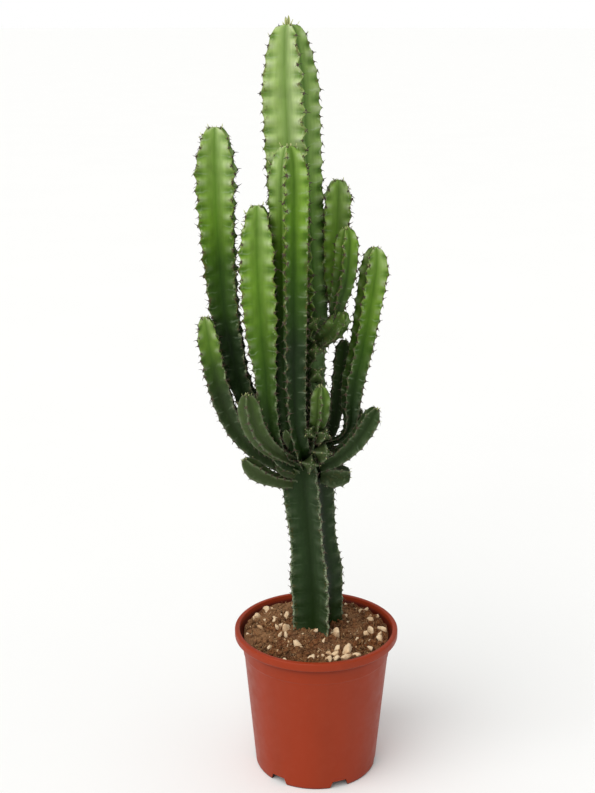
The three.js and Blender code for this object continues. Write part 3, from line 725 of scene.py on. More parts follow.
def pot_material(pot):
    """Semi-matt moulded plastic with faint upright flow marks and a dusty bloom, with a painted shadow under
    the rim and painted shade on the inside wall.
    """
    material, nodes, shader, place = new_material("Pot Plastic")
    centred = nodes.mapping(place, location=(-AXIS[0] * MM, -AXIS[1] * MM, 0))
    flow = nodes.noise(nodes.mapping(centred, (1, 1, 0.05)), 32, 3.0, 0.5)
    plastic = nodes.mix(nodes.stretch(flow, 0.4, 0.68, 0, 0.7), pot.plastic, pot.streak)
    dark = tuple(0.8 * value for value in pot.plastic)
    blotched = soft_blotches(nodes, centred, (plastic, dark, pot.bloom), 22, 0.22)
    height = nodes.times(nodes.part(place, "Z"), 1 / MM)
    # Painted shadow in a band just under the rim's overhang
    painted_rim_shadow = nodes.times(
        nodes.stretch(height, NECK_HEIGHT - 7, NECK_HEIGHT - 0.5, 0, 0.7),
        nodes.stretch(height, NECK_HEIGHT + 1.6, NECK_HEIGHT),
    )
    plastic = nodes.mix(painted_rim_shadow, blotched["Color"], linear(92, 28, 12))
    # Painted shade on the inside wall above the soil, fading out towards the lip
    away = nodes.add("ShaderNodeVectorMath", {0: nodes.mapping(centred, (1, 1, 0))}, operation="LENGTH")
    wall = nodes.stretch(height, 0, NECK_HEIGHT, FOOT_RADIUS - 0.8, NECK_RADIUS - 0.8)
    limit = nodes.stretch(height, NECK_HEIGHT - 0.4, NECK_HEIGHT + 0.4, wall, RIM_RADIUS - 3)
    inside = nodes.math("LESS_THAN", away.outputs["Value"], nodes.times(limit, MM))
    low = nodes.stretch(height, POT_HEIGHT - 2.5, POT_HEIGHT - 6, 0.0, 0.85)
    nodes.fill(shader, {
        "Base Color": nodes.mix(nodes.times(inside, low), plastic, linear(60, 14, 6)),
        "Roughness": nodes.patches(centred, 90, 0.35, 0.7, 0.4, 0.52),
        "Specular IOR Level": 0.18,
        "Normal": grain_bump(nodes, centred, 700, 0.12, 0.12),
    })
    return material


def peat_material(soil):
    """Brown fibrous potting mix, dark in random patches and lighter towards the back."""
    material, nodes, shader, place = new_material("Potting Mix")
    clods = nodes.noise(place, 130, 5.0, 0.65)
    peat = nodes.mix(nodes.stretch(clods, 0.34, 0.62), soil.dark_peat, soil.peat)
    threads = nodes.noise(nodes.mapping(place, (1, 4, 2)), 420, 4.0, 0.7)
    peat = nodes.mix(nodes.stretch(threads, 0.52, 0.66, 0, 0.9), peat, soil.fibre)
    peat = nodes.mix(nodes.patches(place, 1100, 0.66, 0.74, 0, 0.6, 2.0), peat, linear(196, 160, 120))
    peat = nodes.mix(nodes.patches(place, 36, 0.5, 0.7, 0, 0.3), peat, linear(112, 62, 44))
    far = nodes.stretch(nodes.part(place, "Y"), -0.05, -0.005, 0.25, 1.2)
    dry = nodes.times(nodes.patches(place, 21, 0.44, 0.62, 0, 0.5, 4.0), far)
    nodes.fill(shader, {
        "Base Color": nodes.mix(dry, peat, linear(158, 120, 84)),
        "Roughness": 0.92,
        "Specular IOR Level": 0.2,
        "Normal": grain_bump(nodes, place, 650, 0.9, 0.8),
    })
    return material


def fibre_material(soil):
    """Dry straw-like fibres and bark slivers."""
    material, nodes, shader, place = new_material("Soil Fibre")
    tone = nodes.noise(place, 90, 2.0)
    straw = nodes.mix(nodes.stretch(tone, 0.5, 0.64), soil.fibre, soil.peat)
    straw = nodes.mix(nodes.stretch(tone, 0.46, 0.36), straw, linear(206, 178, 140))
    nodes.fill(shader, {"Base Color": straw, "Roughness": 0.85})
    return material


def pumice_material(soil):
    """Pale porous grains, some of them stained by the soil."""
    material, nodes, shader, place = new_material("Pumice")
    stone = nodes.mix(nodes.patches(place, 60, 0.45, 0.65, 0, 0.75), soil.pumice, linear(186, 140, 92))
    pores = nodes.add("ShaderNodeTexVoronoi", {"Vector": place, "Scale": 1300.0}).outputs["Distance"]
    stone = nodes.mix(nodes.stretch(pores, 0.12, 0.32, 0.35, 0), stone, linear(150, 112, 78))
    nodes.fill(shader, {"Base Color": stone, "Roughness": 0.9, "Normal": bump(nodes, pores, 0.6, 0.5)})
    return material


def floor_material(studio):
    """Plain pale studio floor."""
    material, nodes, shader, place = new_material("Studio Floor")
    floor = nodes.mix(nodes.patches(place, 3, 0.3, 0.7, 0, 0.04), studio.floor, (0.7, 0.7, 0.7))
    nodes.fill(shader, {"Base Color": floor, "Roughness": 0.9})
    return material


# Mesh helpers


def new_piece(name, bm, material, slot, nodes, smooth_angle=180):
    """Turns a bmesh into a piece that rides on the plant's body and stands for the given nodes."""
    mesh = to_template(bm, name)
    mesh.shade_smooth()
    if smooth_angle < 180:
        mesh.set_sharp_from_angle(angle=math.radians(smooth_angle))
    mesh.materials.append(material)
    piece = bpy.data.objects.new(name, mesh)
    bpy.context.collection.objects.link(piece)
    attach(piece, BODY)
    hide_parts(*nodes)
    return piece


def to_template(bm, name):
    """Turns a bmesh into a mesh, which stands for itself or is copied by stamp."""
    mesh = bpy.data.meshes.new(name)
    bm.to_mesh(mesh)
    bm.free()
    return mesh


def stamp(bm, template, places):
    """Adds a copy of the template mesh at each matrix."""
    for matrix in places:
        copy = template.copy()
        copy.transform(matrix)
        bm.from_mesh(copy)
        bpy.data.meshes.remove(copy)


def placed(x, y, z):
    """A point given in millimetres from the pot's axis, in metres in the frame."""
    return Vector(((x + AXIS[0]) * MM, (y + AXIS[1]) * MM, z * MM))


def standing(point, x_axis, y_axis, z_axis):
    """The matrix that puts a template at a point, along three axes."""
    return Matrix.Translation(placed(*point)) @ Matrix((x_axis, y_axis, z_axis)).transposed().to_4x4()


def random_turn(draw):
    return Euler([draw.uniform(0, math.tau) for _ in range(3)]).to_matrix().to_4x4()


def drop_on_soil(bm, draw, shapes, place, squash, size):
    """Adds one of the grain shapes, turned at random and squashed between two limits along each axis.

    Equal limits take no draw.
    """
    turn = random_turn(draw)
    axes = [low if low == high else draw.uniform(low, high) for low, high in squash]
    scale = Matrix.Diagonal((*axes, 1)) @ Matrix.Scale(size * MM, 4)
    stamp(bm, draw.choice(shapes), [Matrix.Translation(place) @ turn @ scale])


def smoothstep(value, low, high):
    share = min(max((value - low) / (high - low), 0), 1)
    return share * share * (3 - 2 * share)


# Stems


def unit(rows):
    return rows / np.linalg.norm(rows, axis=1)[:, None]


def drift(steps, scale, row, seed):
    """Smooth noise along one row of steps."""
    return np.array([noise.noise(Vector((scale * step, row, seed))) for step in steps])


class Rings:
    """A stem's centres, directions and sizes at an array of steps from its root."""

    def __init__(self, stem, step):
        stems = bpy.context.scene.euphorbia_stems
        self.stem = stem
        self.step = np.asarray(step, float)
        t = np.interp(self.step * stem.spacing, stem.lengths, LINE_SHARES)
        values = smooth_line(stem.path, t)
        ahead = smooth_line(stem.path, np.minimum(t + NUDGE, 1))
        behind = smooth_line(stem.path, np.maximum(t - NUDGE, 0))
        self.centre = values[:, :3]
        self.tangent = unit((ahead - behind)[:, :3])
        self.front = unit(np.array([0, -1, 0]) - self.tangent * -self.tangent[:, 1:2])
        self.right = np.cross(self.tangent, self.front)
        self.from_tip = stem.length - self.step * stem.spacing
        full = values[:, 3]
        share = TIP_SHARE + (1 - TIP_SHARE) * np.clip(self.from_tip / (stem.taper * full), 0, 1) ** TIP_POWER
        rise = np.clip((values[:, 2] - SWAY_RISES_FROM) / (SWAY_FULL_FROM - SWAY_RISES_FROM), 0, 1)
        sway = SWAY_AT_FOOT + (1 - SWAY_AT_FOOT) * rise * rise * (3 - 2 * rise)
        self.radius = full * share
        self.share = share * sway
        self.growth = np.minimum(self.radius / FULL_RADIUS, 1)
        self.tooth = stems.tooth / MM * (TOOTH_AT_TIP + (1 - TOOTH_AT_TIP) * self.growth)
        self.swing_size = stems.fold_depth / MM * (self.radius / FULL_RADIUS) * self.share

    def ribs(self):
        """Each rib's number, the way out to its crest, the way to its side and its crest's swing that way.

        The crest swings from side to side at each spine site, a little unevenly.
        """
        for rib in range(RIBS):
            angle = self.stem.turn + rib * math.tau / RIBS
            out = self.front * math.cos(angle) + self.right * math.sin(angle)
            side = self.right * math.cos(angle) - self.front * math.sin(angle)
            wobble = drift(self.step, 0.35, 7.3 * rib, self.stem.seed)
            quick = drift(self.step, 0.9, 3.7 * rib, self.stem.seed + 4)
            wave = np.cos(math.pi * (self.step + rib) + 0.9 * wobble)
            yield rib, out, side, wave * self.swing_size * (1 + 0.5 * wobble + 0.8 * quick)


def rib_section(flank_points, crest_points):
    """Samples of one rib from its valley over its crest: flank share, side and crest turn for each."""
    flank = np.linspace(0, 1, flank_points + 1)
    samples = [(share, -1, -CREST_HALF_TURN) for share in flank[:-1]]
    samples += [(1, 0, turn) for turn in np.linspace(-CREST_HALF_TURN, CREST_HALF_TURN, crest_points)]
    return samples + [(share, 1, CREST_HALF_TURN) for share in flank[:0:-1][1:]]


def stem_columns(rings, shrink, tooth_shape):
    """Each column of a stem's skin: its points, and its rib share, fold and tooth for the skin's pattern."""
    stem = rings.stem
    crest_radius = bpy.context.scene.euphorbia_stems.crest_radius / MM
    crest_round = crest_radius * (CREST_ROUND_AT_TIP + (1 - CREST_ROUND_AT_TIP) * rings.growth)
    lively = np.clip(rings.share * 1.6 - 0.6, 0.75, 1)
    waved = tooth_shape - TOOTH_DIP + TOOTH_WAVE * np.cos(math.tau * rings.step)
    tooth = rings.tooth * waved * lively * stem.rough
    valley = stem.valley * math.sqrt(0.5) * rings.radius
    for rib, out, side, swing in rings.ribs():
        uneven = 1 + 1.2 * drift(np.round(rings.step), 2.7, 5.1 * rib, 9 + stem.seed)
        for flank, hand, turn in rib_section(*(BUD_POINTS if stem.is_bud else STEM_POINTS)):
            on_crest = hand == 0
            hand = hand or np.sign(turn)
            rounding = VALLEY_FILL * VALLEY_ROUND * rings.radius * max(1 - flank / VALLEY_ROUND, 0) ** 2
            crest_out = rings.radius - crest_round + crest_round * math.cos(turn)
            x = valley + (crest_out - valley) * flank + rounding
            x = x + tooth * uneven * (1 if on_crest else flank**FLANK_TOOTH_POWER)
            y = hand * valley * (1 - flank) + crest_round * math.sin(turn) * flank + hand * rounding
            y = y + swing * flank**FLANK_FOLD_POWER
            point = rings.centre + (out * x[:, None] + side * y[:, None]) * shrink[:, None]
            fold = hand * swing / np.maximum(rings.swing_size, 1e-6)
            yield point, np.full(len(point), 1 if on_crest else flank), fold, tooth_shape


def stem_bmesh(stem):
    """A closed ribbed stem: a grid wrapped round the centre line, with its ends drawn to a point."""
    # The rings, in steps: close together round each tooth and at the tip, and a last few to close the tip.
    along = [site + part for site in range(stem.steps - 1) for part in SITE_RINGS]
    step = np.array([0, *along, *(stem.steps - 1 + np.linspace(0, 1, TIP_RINGS) ** 0.7)])
    shrink = np.concatenate([[0], np.ones(len(step) - 1), CAP_RINGS])
    rise = np.concatenate([np.zeros(len(step)), TIP_RISE * (1 - CAP_RINGS**2)])
    step = np.concatenate([step, np.full(len(CAP_RINGS), stem.steps)])

    rings = Rings(stem, step)
    rings.centre = rings.centre + rings.tangent * rise[:, None]
    from_site = np.abs(step - np.round(step)) * stem.spacing
    tooth_shape = np.maximum(1 - from_site / TOOTH_REACH, 0) ** TOOTH_POWER
    columns = list(stem_columns(rings, shrink, tooth_shape))
    columns.append(columns[0])
    points, shares, folds, teeth = (np.stack(values, axis=1) for values in zip(*columns))
    points = (points.reshape(-1, 3) + np.array([*AXIS, 0])) * MM

    tip_age, old_distance = stem.age
    ages = tip_age + (1 - tip_age) * rings.from_tip / old_distance
    values = (shares, folds, teeth, ages[:, None], stem.painted_shade_grey, stem.wax_and_fill_light, 0.4 * stem.rough - 0.4, step[:, None])
    values = [np.broadcast_to(value, shares.shape).ravel() for value in values]

    bm = bmesh.new()
    bmesh.ops.create_grid(bm, x_segments=len(columns) - 1, y_segments=len(step) - 1, size=1)
    layers = [bm.verts.layers.float.new(name) for name in SKIN_ATTRIBUTES]
    for vert, place, *skin in zip(bm.verts, points, *values):
        vert.co = place
        for layer, value in zip(layers, skin):
            vert[layer] = value
    bmesh.ops.remove_doubles(bm, verts=bm.verts, dist=1e-7)
    bmesh.ops.recalc_face_normals(bm, faces=bm.faces)
    bm.normal_update()
    # How far each point faces the light's side, which drives the skin's painted light and shade
    facing_light = bm.verts.layers.float.new("facing_light")
    for vert in bm.verts:
        vert[facing_light] = vert.normal.dot(LIGHT_SIDE)
    return bm


def spine_sites(stem):
    """The crest point, directions and size share of every spine site of a stem that is clear of the soil."""
    rings = Rings(stem, np.arange(1, stem.steps + 1))
    lift = (rings.radius + 0.5 * rings.tooth)[:, None]
    for _, out, side, swing in rings.ribs():
        crests = rings.centre + out * lift + side * swing[:, None]
        for site in zip(crests, out, side, rings.tangent, rings.share):
            if site[0][2] > SPINES_FROM_HEIGHT:
                yield site


def spine_template(stems):
    """A pair of curved spines on a small shield, standing along +Z with its spines spread along X."""
    bm = bmesh.new()
    point = bm.verts.layers.float.new("point")
    length = stems.spine_length / MM
    root = stems.spine_radius / MM
    for hand in (-1, 1):
        spine = bmesh.ops.create_cone(
            bm, cap_ends=True, cap_tris=False, segments=5,
            radius1=root, radius2=root * SPINE_TAPER, depth=length,
        )["verts"]
        edges = {e for v in spine for e in v.link_edges if abs(e.verts[0].co.z - e.verts[1].co.z) > 1}
        bmesh.ops.subdivide_edges(bm, edges=list(edges), cuts=2)
        bm.verts.ensure_lookup_table()
        for vert in [v for v in bm.verts if v[point] == 0]:
            along = vert.co.z / length + 0.5
            lean = math.radians(SPINE_LEAN + SPINE_CURL * along)
            x = math.sin(lean) * along * length + vert.co.x * math.cos(lean)
            z = math.cos(lean) * along * length - vert.co.x * math.sin(lean)
            vert.co = (hand * (SPINE_SPREAD + x), vert.co.y - SPINE_DROOP * along**2, z - 0.2)
            vert[point] = 0.05 + 0.95 * along
    shield = bmesh.ops.create_cone(
        bm, cap_ends=True, cap_tris=True, segments=8,
        radius1=SHIELD_FOOT, radius2=SHIELD_TOP, depth=SHIELD_HEIGHT,
    )["verts"]
    for vert in shield:
        vert.co = vert.co * Vector(SHIELD_SCALE) + Vector(SHIELD_SHIFT)
        vert[point] = 0.01
    bmesh.ops.recalc_face_normals(bm, faces=bm.faces)
    for vert in bm.verts:
        vert.co *= MM
    return to_template(bm, "spine_pair")


def is_clear(point, stem, cores):
    """True where a point lies outside every other stem."""
    return all(
        core.stem is stem
        or (np.linalg.norm(core.centre - point, axis=1) > BURIED_SHARE * core.radius + BURIED_MARGIN).all()
        for core in cores
    )


def spine_matrices(stem, cores):
    """Where the template goes on each free site, a little different each time."""
    draw = random.Random(stem.seed)
    for crest, out, side, tangent, share in spine_sites(stem):
        size = (0.7 + 0.3 * share) * draw.uniform(*SPINE_SIZES)
        tilt = Euler([draw.uniform(-most, most) for most in SPINE_TILTS])
        if is_clear(crest, stem, cores):
            yield standing(crest, side, tangent, out) @ tilt.to_matrix().to_4x4() @ Matrix.Scale(size, 4)


def add_stems(groups):
    """Makes the skin and the spines of each group: a stem, and the buds that belong to it."""
    stems = bpy.context.scene.euphorbia_stems
    skin = bpy.data.materials.get("Euphorbia Skin") or skin_material(stems)
    horn = bpy.data.materials.get("Spine Horn") or spine_material(stems)
    template = bpy.data.meshes.get("spine_pair") or spine_template(stems)
    cores = [Rings(stem, np.arange(stem.steps + 1)) for stem in ALL_STEMS]
    for group in groups:
        whole = bmesh.new()
        pairs = bmesh.new()
        for stem in group:
            mesh = to_template(stem_bmesh(stem), "stem_part")
            whole.from_mesh(mesh)
            bpy.data.meshes.remove(mesh)
            stamp(pairs, template, spine_matrices(stem, cores))
        node, slot = group[0].node, group[0].slot
        new_piece(f"{node}_skin", whole, skin, slot, [node])
        new_piece(f"{node}_spines", pairs, horn, slot, [node], 40)


class EUPHORBIA_OT_main_stem(bpy.types.Operator):
    """Add the main stem with its buds and spines"""

    bl_idname = "euphorbia.main_stem"
    bl_label = "Main Stem"

    def execute(self, context):
        add_stems([[MAIN_STEM, *BUDS]])
        return {"FINISHED"}


class EUPHORBIA_OT_branches(bpy.types.Operator):
    """Add the branches with their spines"""

    bl_idname = "euphorbia.branches"
    bl_label = "Branches"

    def execute(self, context):
        add_stems([[branch] for branch in BRANCHES])
        return {"FINISHED"}


class EUPHORBIA_OT_young_leaves(bpy.types.Operator):
    """Add the tiny leaves at the growing tips"""

    bl_idname = "euphorbia.young_leaves"
    bl_label = "Young Leaves"

    def leaf_template(self):
        """A pointed leaf standing along +Z, one metre tall until it is scaled."""
        bm = bmesh.new()
        bmesh.ops.create_grid(bm, x_segments=2, y_segments=5, size=0.5)
        edge = bm.verts.layers.float.new("edge")
        for vert in bm.verts:
            along = vert.co.y + 0.5
            width = LEAF_WIDTH * math.sin(math.pi * min(along * 0.9 + 0.12, 1)) ** 0.8
            vert[edge] = max(2 * abs(vert.co.x), along**3)
            vert.co = (vert.co.x * width * 2, 0.1 * along**2 - 0.2 * abs(vert.co.x), along)
        bmesh.ops.solidify(bm, geom=bm.faces, thickness=LEAF_THICKNESS)
        bmesh.ops.recalc_face_normals(bm, faces=bm.faces)
        return to_template(bm, "young_leaf")

    def crown(self, tip, leaves, draw):
        """Upright leaves round a growing tip, each given as its turn and length."""
        foot = Matrix.Translation(placed(tip[0], tip[1], tip[2] - 0.2))
        ring = Matrix.Translation((0, -CROWN_RADIUS * MM, 0))
        for turn, length in leaves:
            lean = draw.uniform(0.05, 0.3) * (1 if length > LONG_LEAF else SHORT_LEAF_LEAN)
            around = Matrix.Rotation(math.radians(turn), 4, "Z")
            yield foot @ around @ ring @ Matrix.Rotation(lean, 4, "X") @ Matrix.Scale(length * MM, 4)

    def crest_leaves(self, stem, draw):
        """Leaflets at the topmost spine sites of each crest, which reach less far down on a bud."""
        reach = LEAFY_REACH_OF_BUD if stem.is_bud else LEAFY_REACH
        *top, tip_radius = stem.path[-1]
        for crest, out, _, tangent, _ in spine_sites(stem):
            away = (Vector(crest) - Vector(top)).length
            if away > reach or draw.random() < 0.5 * away / reach:
                continue
            up = (Vector(tangent) + Vector(out) * draw.uniform(0.2, 1.6)).normalized()
            across = up.cross(Vector(out)).normalized()
            length = draw.uniform(*LEAFLET_LENGTHS) * min(tip_radius / 20, 1)
            yield standing(crest, across, up.cross(across), up) @ Matrix.Scale(length * MM, 4)

    def execute(self, context):
        template = self.leaf_template()
        draw = random.Random(LEAF_SEED)
        bm = bmesh.new()
        for stem in ALL_STEMS:
            if not stem.is_bud:
                leaves = [(draw.uniform(0, 360), draw.uniform(*CROWN_LENGTHS)) for _ in range(CROWN_LEAVES)]
                leaves += TALL_LEAVES if stem is MAIN_STEM else []
                stamp(bm, template, self.crown(stem.path[-1], leaves, draw))
            stamp(bm, template, self.crest_leaves(stem, draw))
        new_piece("young_leaves", bm, leaf_material(), "main_stem_skin", ["stem_main"], 40)
        return {"FINISHED"}


# Pot


def inner_radius(height):
    """The radius of the pot's inside wall at a height."""
    share = (height - FLOOR_TOP) / (NECK_HEIGHT - FLOOR_TOP)
    return (1 - share) * (FOOT_RADIUS - WALL) + share * (NECK_RADIUS - WALL)


def arc(centre, radius, start, end, steps):
    """Points on an arc of the pot's section, as radius and height."""
    turns = (math.radians(start + (end - start) * k / steps) for k in range(steps + 1))
    return [(centre[0] + radius * math.cos(turn), centre[1] + radius * math.sin(turn)) for turn in turns]


def pot_section():
    """The pot's section from the middle of its underside, round its outside, to the middle of its floor."""
    foot = FOOT_RADIUS - FOOT_INSET
    inside = RIM_RADIUS - RIM_WIDTH
    collar = [
        (COLLAR_RADIUS - 0.1, COLLAR_HEIGHT - 0.8),
        (COLLAR_RADIUS + 0.15, COLLAR_HEIGHT),
        (COLLAR_RADIUS + COLLAR_STEP, COLLAR_HEIGHT + COLLAR_STEP),
        (COLLAR_RADIUS + COLLAR_STEP + 0.15, COLLAR_HEIGHT + 1.8),
    ]
    return [
        (0, FOOT_HEIGHT),
        (foot - FOOT_WIDTH, FOOT_HEIGHT),
        *arc((foot - FOOT_WIDTH + 0.5, 0.5), 0.5, 180, 270, 3),
        *arc((foot - 0.8, 0.8), 0.8, 270, 345, 4),
        (FOOT_RADIUS - 0.15, 2.2),
        (FOOT_RADIUS + 0.1, 5),
        *collar,
        *arc((NECK_RADIUS + 0.9, NECK_HEIGHT - 0.9), 0.9, 180, 90, 4),
        *arc((RIM_RADIUS - 2.6, NECK_HEIGHT + 2.6), 2.6, 280, 350, 6),
        (RIM_RADIUS, NECK_HEIGHT + 4.5),
        *arc((RIM_RADIUS - 1.9, POT_HEIGHT - 1.9), 1.9, 5, 90, 7),
        *arc((inside + 1.0, POT_HEIGHT - 1.0), 1.0, 90, 180, 4),
        (inside - 0.5, POT_HEIGHT - 5.5),
        (NECK_RADIUS - WALL + 0.4, NECK_HEIGHT + 0.4),
        (NECK_RADIUS - WALL, NECK_HEIGHT - 0.8),
        *arc((FOOT_RADIUS - WALL - 1.2, FLOOR_TOP + 1.2), 1.2, 0, -90, 3),
        (0, FLOOR_TOP),
    ]


def drain_cutter(bm, place, radius, segments):
    """Adds a cylinder that cuts a drain hole through the floor."""
    bmesh.ops.create_cone(
        bm, cap_ends=True, segments=segments, radius1=radius * MM, radius2=radius * MM,
        depth=3 * FLOOR_THICKNESS * MM, matrix=place,
    )


def pot_cutters():
    """Prisms for the notches in the foot and cylinders for the drain holes."""
    bm = bmesh.new()
    centre = Matrix.Translation(placed(0, 0, 0))
    middle = FOOT_HEIGHT + FLOOR_THICKNESS / 2
    for number in range(NOTCHES):
        turn = Matrix.Rotation(math.radians(NOTCH_TURN + 360 * number / NOTCHES), 4, "Z")
        notch = bmesh.ops.create_cube(bm, size=1)["verts"]
        for vert in notch:
            is_top = vert.co.z > 0
            half = NOTCH_WIDTH / 2 - (NOTCH_SLANT if is_top else 0)
            away = vert.co.y * NOTCH_DEPTH - NOTCH_RING
            height = FOOT_HEIGHT - NOTCH_ROOF if is_top else -1
            vert.co = (math.copysign(half, vert.co.x) * MM, away * MM, height * MM)
        bmesh.ops.transform(bm, matrix=centre @ turn, verts=notch)
        lift = Matrix.Translation((0, -DRAIN_RING * MM, middle * MM))
        drain_cutter(bm, centre @ turn @ lift, DRAIN_RADIUS, 24)
    drain_cutter(bm, Matrix.Translation(placed(0, 0, middle)), CENTRE_DRAIN_RADIUS, 32)
    return bm


class EUPHORBIA_OT_pot(bpy.types.Operator):
    """Add the nursery pot"""

    bl_idname = "euphorbia.pot"
    bl_label = "Pot"

    def execute(self, context):
        settings = context.scene.euphorbia_pot
        bm = bmesh.new()
        section = [bm.verts.new(placed(radius, 0, height)) for radius, height in pot_section()]
        edges = [bm.edges.new(pair) for pair in zip(section, section[1:])]
        bmesh.ops.spin(
            bm, geom=section + edges, cent=placed(0, 0, 0), axis=(0, 0, 1), angle=math.tau,
            steps=POT_STEPS, use_merge=True,
        )
        bmesh.ops.remove_doubles(bm, verts=bm.verts, dist=1e-6)
        bmesh.ops.recalc_face_normals(bm, faces=bm.faces)
        pot = new_piece("nursery_pot", bm, pot_material(settings), "pot_plastic", ["pot"])

        cutter_mesh = to_template(pot_cutters(), "pot_cutters")
        cutter = bpy.data.objects.new("pot_cutters", cutter_mesh)
        context.collection.objects.link(cutter)
        cut = pot.modifiers.new("Cut", "BOOLEAN")
        cut.operation = "DIFFERENCE"
        cut.solver = "EXACT"
        cut.object = cutter
        shaped = bpy.data.meshes.new_from_object(pot.evaluated_get(context.evaluated_depsgraph_get()))
        pot.modifiers.clear()
        pot.data = shaped
        shaped.shade_smooth()
        shaped.set_sharp_from_angle(angle=math.radians(38))
        bpy.data.objects.remove(cutter)
        return {"FINISHED"}


# Soil


def soil_height(x, y):
    """The general lie of the soil, without its clods."""
    mound = SOIL_MOUND * math.exp(-((math.hypot(x - TRUNK_X, y - TRUNK_Y) / SOIL_MOUND_SPREAD) ** 2))
    rise = SOIL_BACK_RISE * smoothstep(y, SOIL_RISE_FROM, SOIL_RISE_TO)
    lumps = math.sin(0.21 * x + 1.3) * math.cos(0.24 * y) + 0.6 * math.sin(0.43 * x - 0.37 * y)
    return SOIL_EDGE + mound + rise + SOIL_LUMPS * lumps


def clods(x, y, relief):
    """The height of the clods at a place."""
    wide = noise.noise(Vector((x / 11, y / 11, 3.1)))
    middle = noise.noise(Vector((x / 4.2, y / 4.2, 8.4)))
    fine = noise.noise(Vector((x / 1.7, y / 1.7, 1.7)))
    return relief * (0.55 * wide + 0.75 * abs(middle) + 0.5 * fine - 0.25)


def surface_height(x, y):
    relief = bpy.context.scene.euphorbia_soil.relief / MM
    return soil_height(x, y) + clods(x, y, relief)


class EUPHORBIA_OT_soil(bpy.types.Operator):
    """Add the potting mix with its crumbs and fibres"""

    bl_idname = "euphorbia.soil"
    bl_label = "Soil"

    def bed(self, material):
        """The body of soil: a square grid drawn out to a disc, its edge carried down to the pot's floor."""
        edge_radius = inner_radius(SOIL_EDGE) - SOIL_GAP_AT_EDGE
        bm = bmesh.new()
        bmesh.ops.create_grid(bm, x_segments=SOIL_GRID, y_segments=SOIL_GRID, size=1)
        for vert in bm.verts:
            u, v = vert.co.x, vert.co.y
            x = edge_radius * u * math.sqrt(1 - v * v / 2)
            y = edge_radius * v * math.sqrt(1 - u * u / 2)
            at_wall = smoothstep(math.hypot(x, y), edge_radius - 2, edge_radius)
            height = surface_height(x, y) * (1 - at_wall) + (soil_height(x, y) - 0.8) * at_wall
            vert.co = placed(x, y, height)
        rim = [edge for edge in bm.edges if edge.is_boundary]
        foot_share = (inner_radius(SOIL_BOTTOM) - SOIL_GAP_AT_FOOT) / edge_radius
        for low, share in ((SOIL_EDGE - 6, 0.995), (SOIL_BOTTOM, foot_share)):
            grown = bmesh.ops.extrude_edge_only(bm, edges=rim)["geom"]
            for vert in (item for item in grown if isinstance(item, bmesh.types.BMVert)):
                away = Vector((vert.co.x / MM - AXIS[0], vert.co.y / MM - AXIS[1])).normalized()
                away = away * edge_radius * share
                vert.co = placed(away.x, away.y, low)
            rim = [item for item in grown if isinstance(item, bmesh.types.BMEdge) and item.is_boundary]
        bmesh.ops.contextual_create(bm, geom=rim)
        bmesh.ops.recalc_face_normals(bm, faces=bm.faces)
        new_piece("soil_bed", bm, material, "potting_mix", ["soil"])

    def spot(self, draw, inset):
        """A place on the soil, clear of the pot's wall and of the trunk."""
        while True:
            turn = draw.uniform(0, math.tau)
            away = (inner_radius(SOIL_EDGE) - inset) * math.sqrt(draw.random())
            x, y = away * math.cos(turn), away * math.sin(turn)
            if math.hypot(x - TRUNK_X, y - TRUNK_Y) > TRUNK_CLEARANCE:
                return x, y

    def crumbs(self, soil, material):
        """Loose crumbs in six shapes."""
        draw = random.Random(CRUMB_SEED)
        bm = bmesh.new()
        shapes = [pebble(2, 0.32, shape) for shape in range(6)]
        sizes = [0.7 + 2.8 * draw.random() ** 2.4 for _ in range(soil.crumbs)]
        for size in sizes:
            x, y = self.spot(draw, size + 1.2)
            place = placed(x, y, surface_height(x, y) + 0.15 * size)
            drop_on_soil(bm, draw, shapes, place, ((1, 1), (0.6, 1), (0.5, 0.9)), size)
        new_piece("soil_crumbs", bm, material, "potting_mix", ["soil"])

    def fibres(self, soil, material):
        """Bent fibres and slivers lying on the soil."""
        draw = random.Random(FIBRE_SEED)
        bm = bmesh.new()
        shapes = [sliver(bend) for bend in (0.05, 0.16, 0.3, -0.22)]
        for _ in range(soil.fibres):
            length = draw.uniform(3, 7) + 8 * draw.random() ** 3
            x, y = self.spot(draw, length / 2 + 1.5)
            place = placed(x, y, surface_height(x, y) + 0.5)
            tilts = (draw.uniform(-0.25, 0.25), draw.uniform(0, math.tau), draw.uniform(0, math.tau))
            turn = Euler(tilts, "YXZ")
            thick = draw.choice((0.16, 0.2, 0.28, 0.45))
            size = Matrix.Diagonal((length * MM, thick * MM, thick * 0.7 * MM, 1))
            stamp(bm, draw.choice(shapes), [Matrix.Translation(place) @ turn.to_matrix().to_4x4() @ size])
        new_piece("soil_fibres", bm, material, "potting_mix", ["soil"])

    def execute(self, context):
        soil = context.scene.euphorbia_soil
        peat = peat_material(soil)
        self.bed(peat)
        self.crumbs(soil, peat)
        self.fibres(soil, fibre_material(soil))
        return {"FINISHED"}


def pebble(subdivisions, roughness, shape):
    """An uneven grain about two millimetres across per unit of scale."""
    bm = bmesh.new()
    bmesh.ops.create_icosphere(bm, subdivisions=subdivisions, radius=1)
    for vert in bm.verts:
        vert.co *= 1 + roughness * noise.noise(vert.co * 1.4 + Vector((0, 0, 9.7 * shape))) * 1.6
        vert.co *= 1 + 0.35 * roughness * noise.noise(vert.co * 4.5 + Vector((5.3 * shape, 0, 0)))
    return to_template(bm, f"pebble_{shape}")


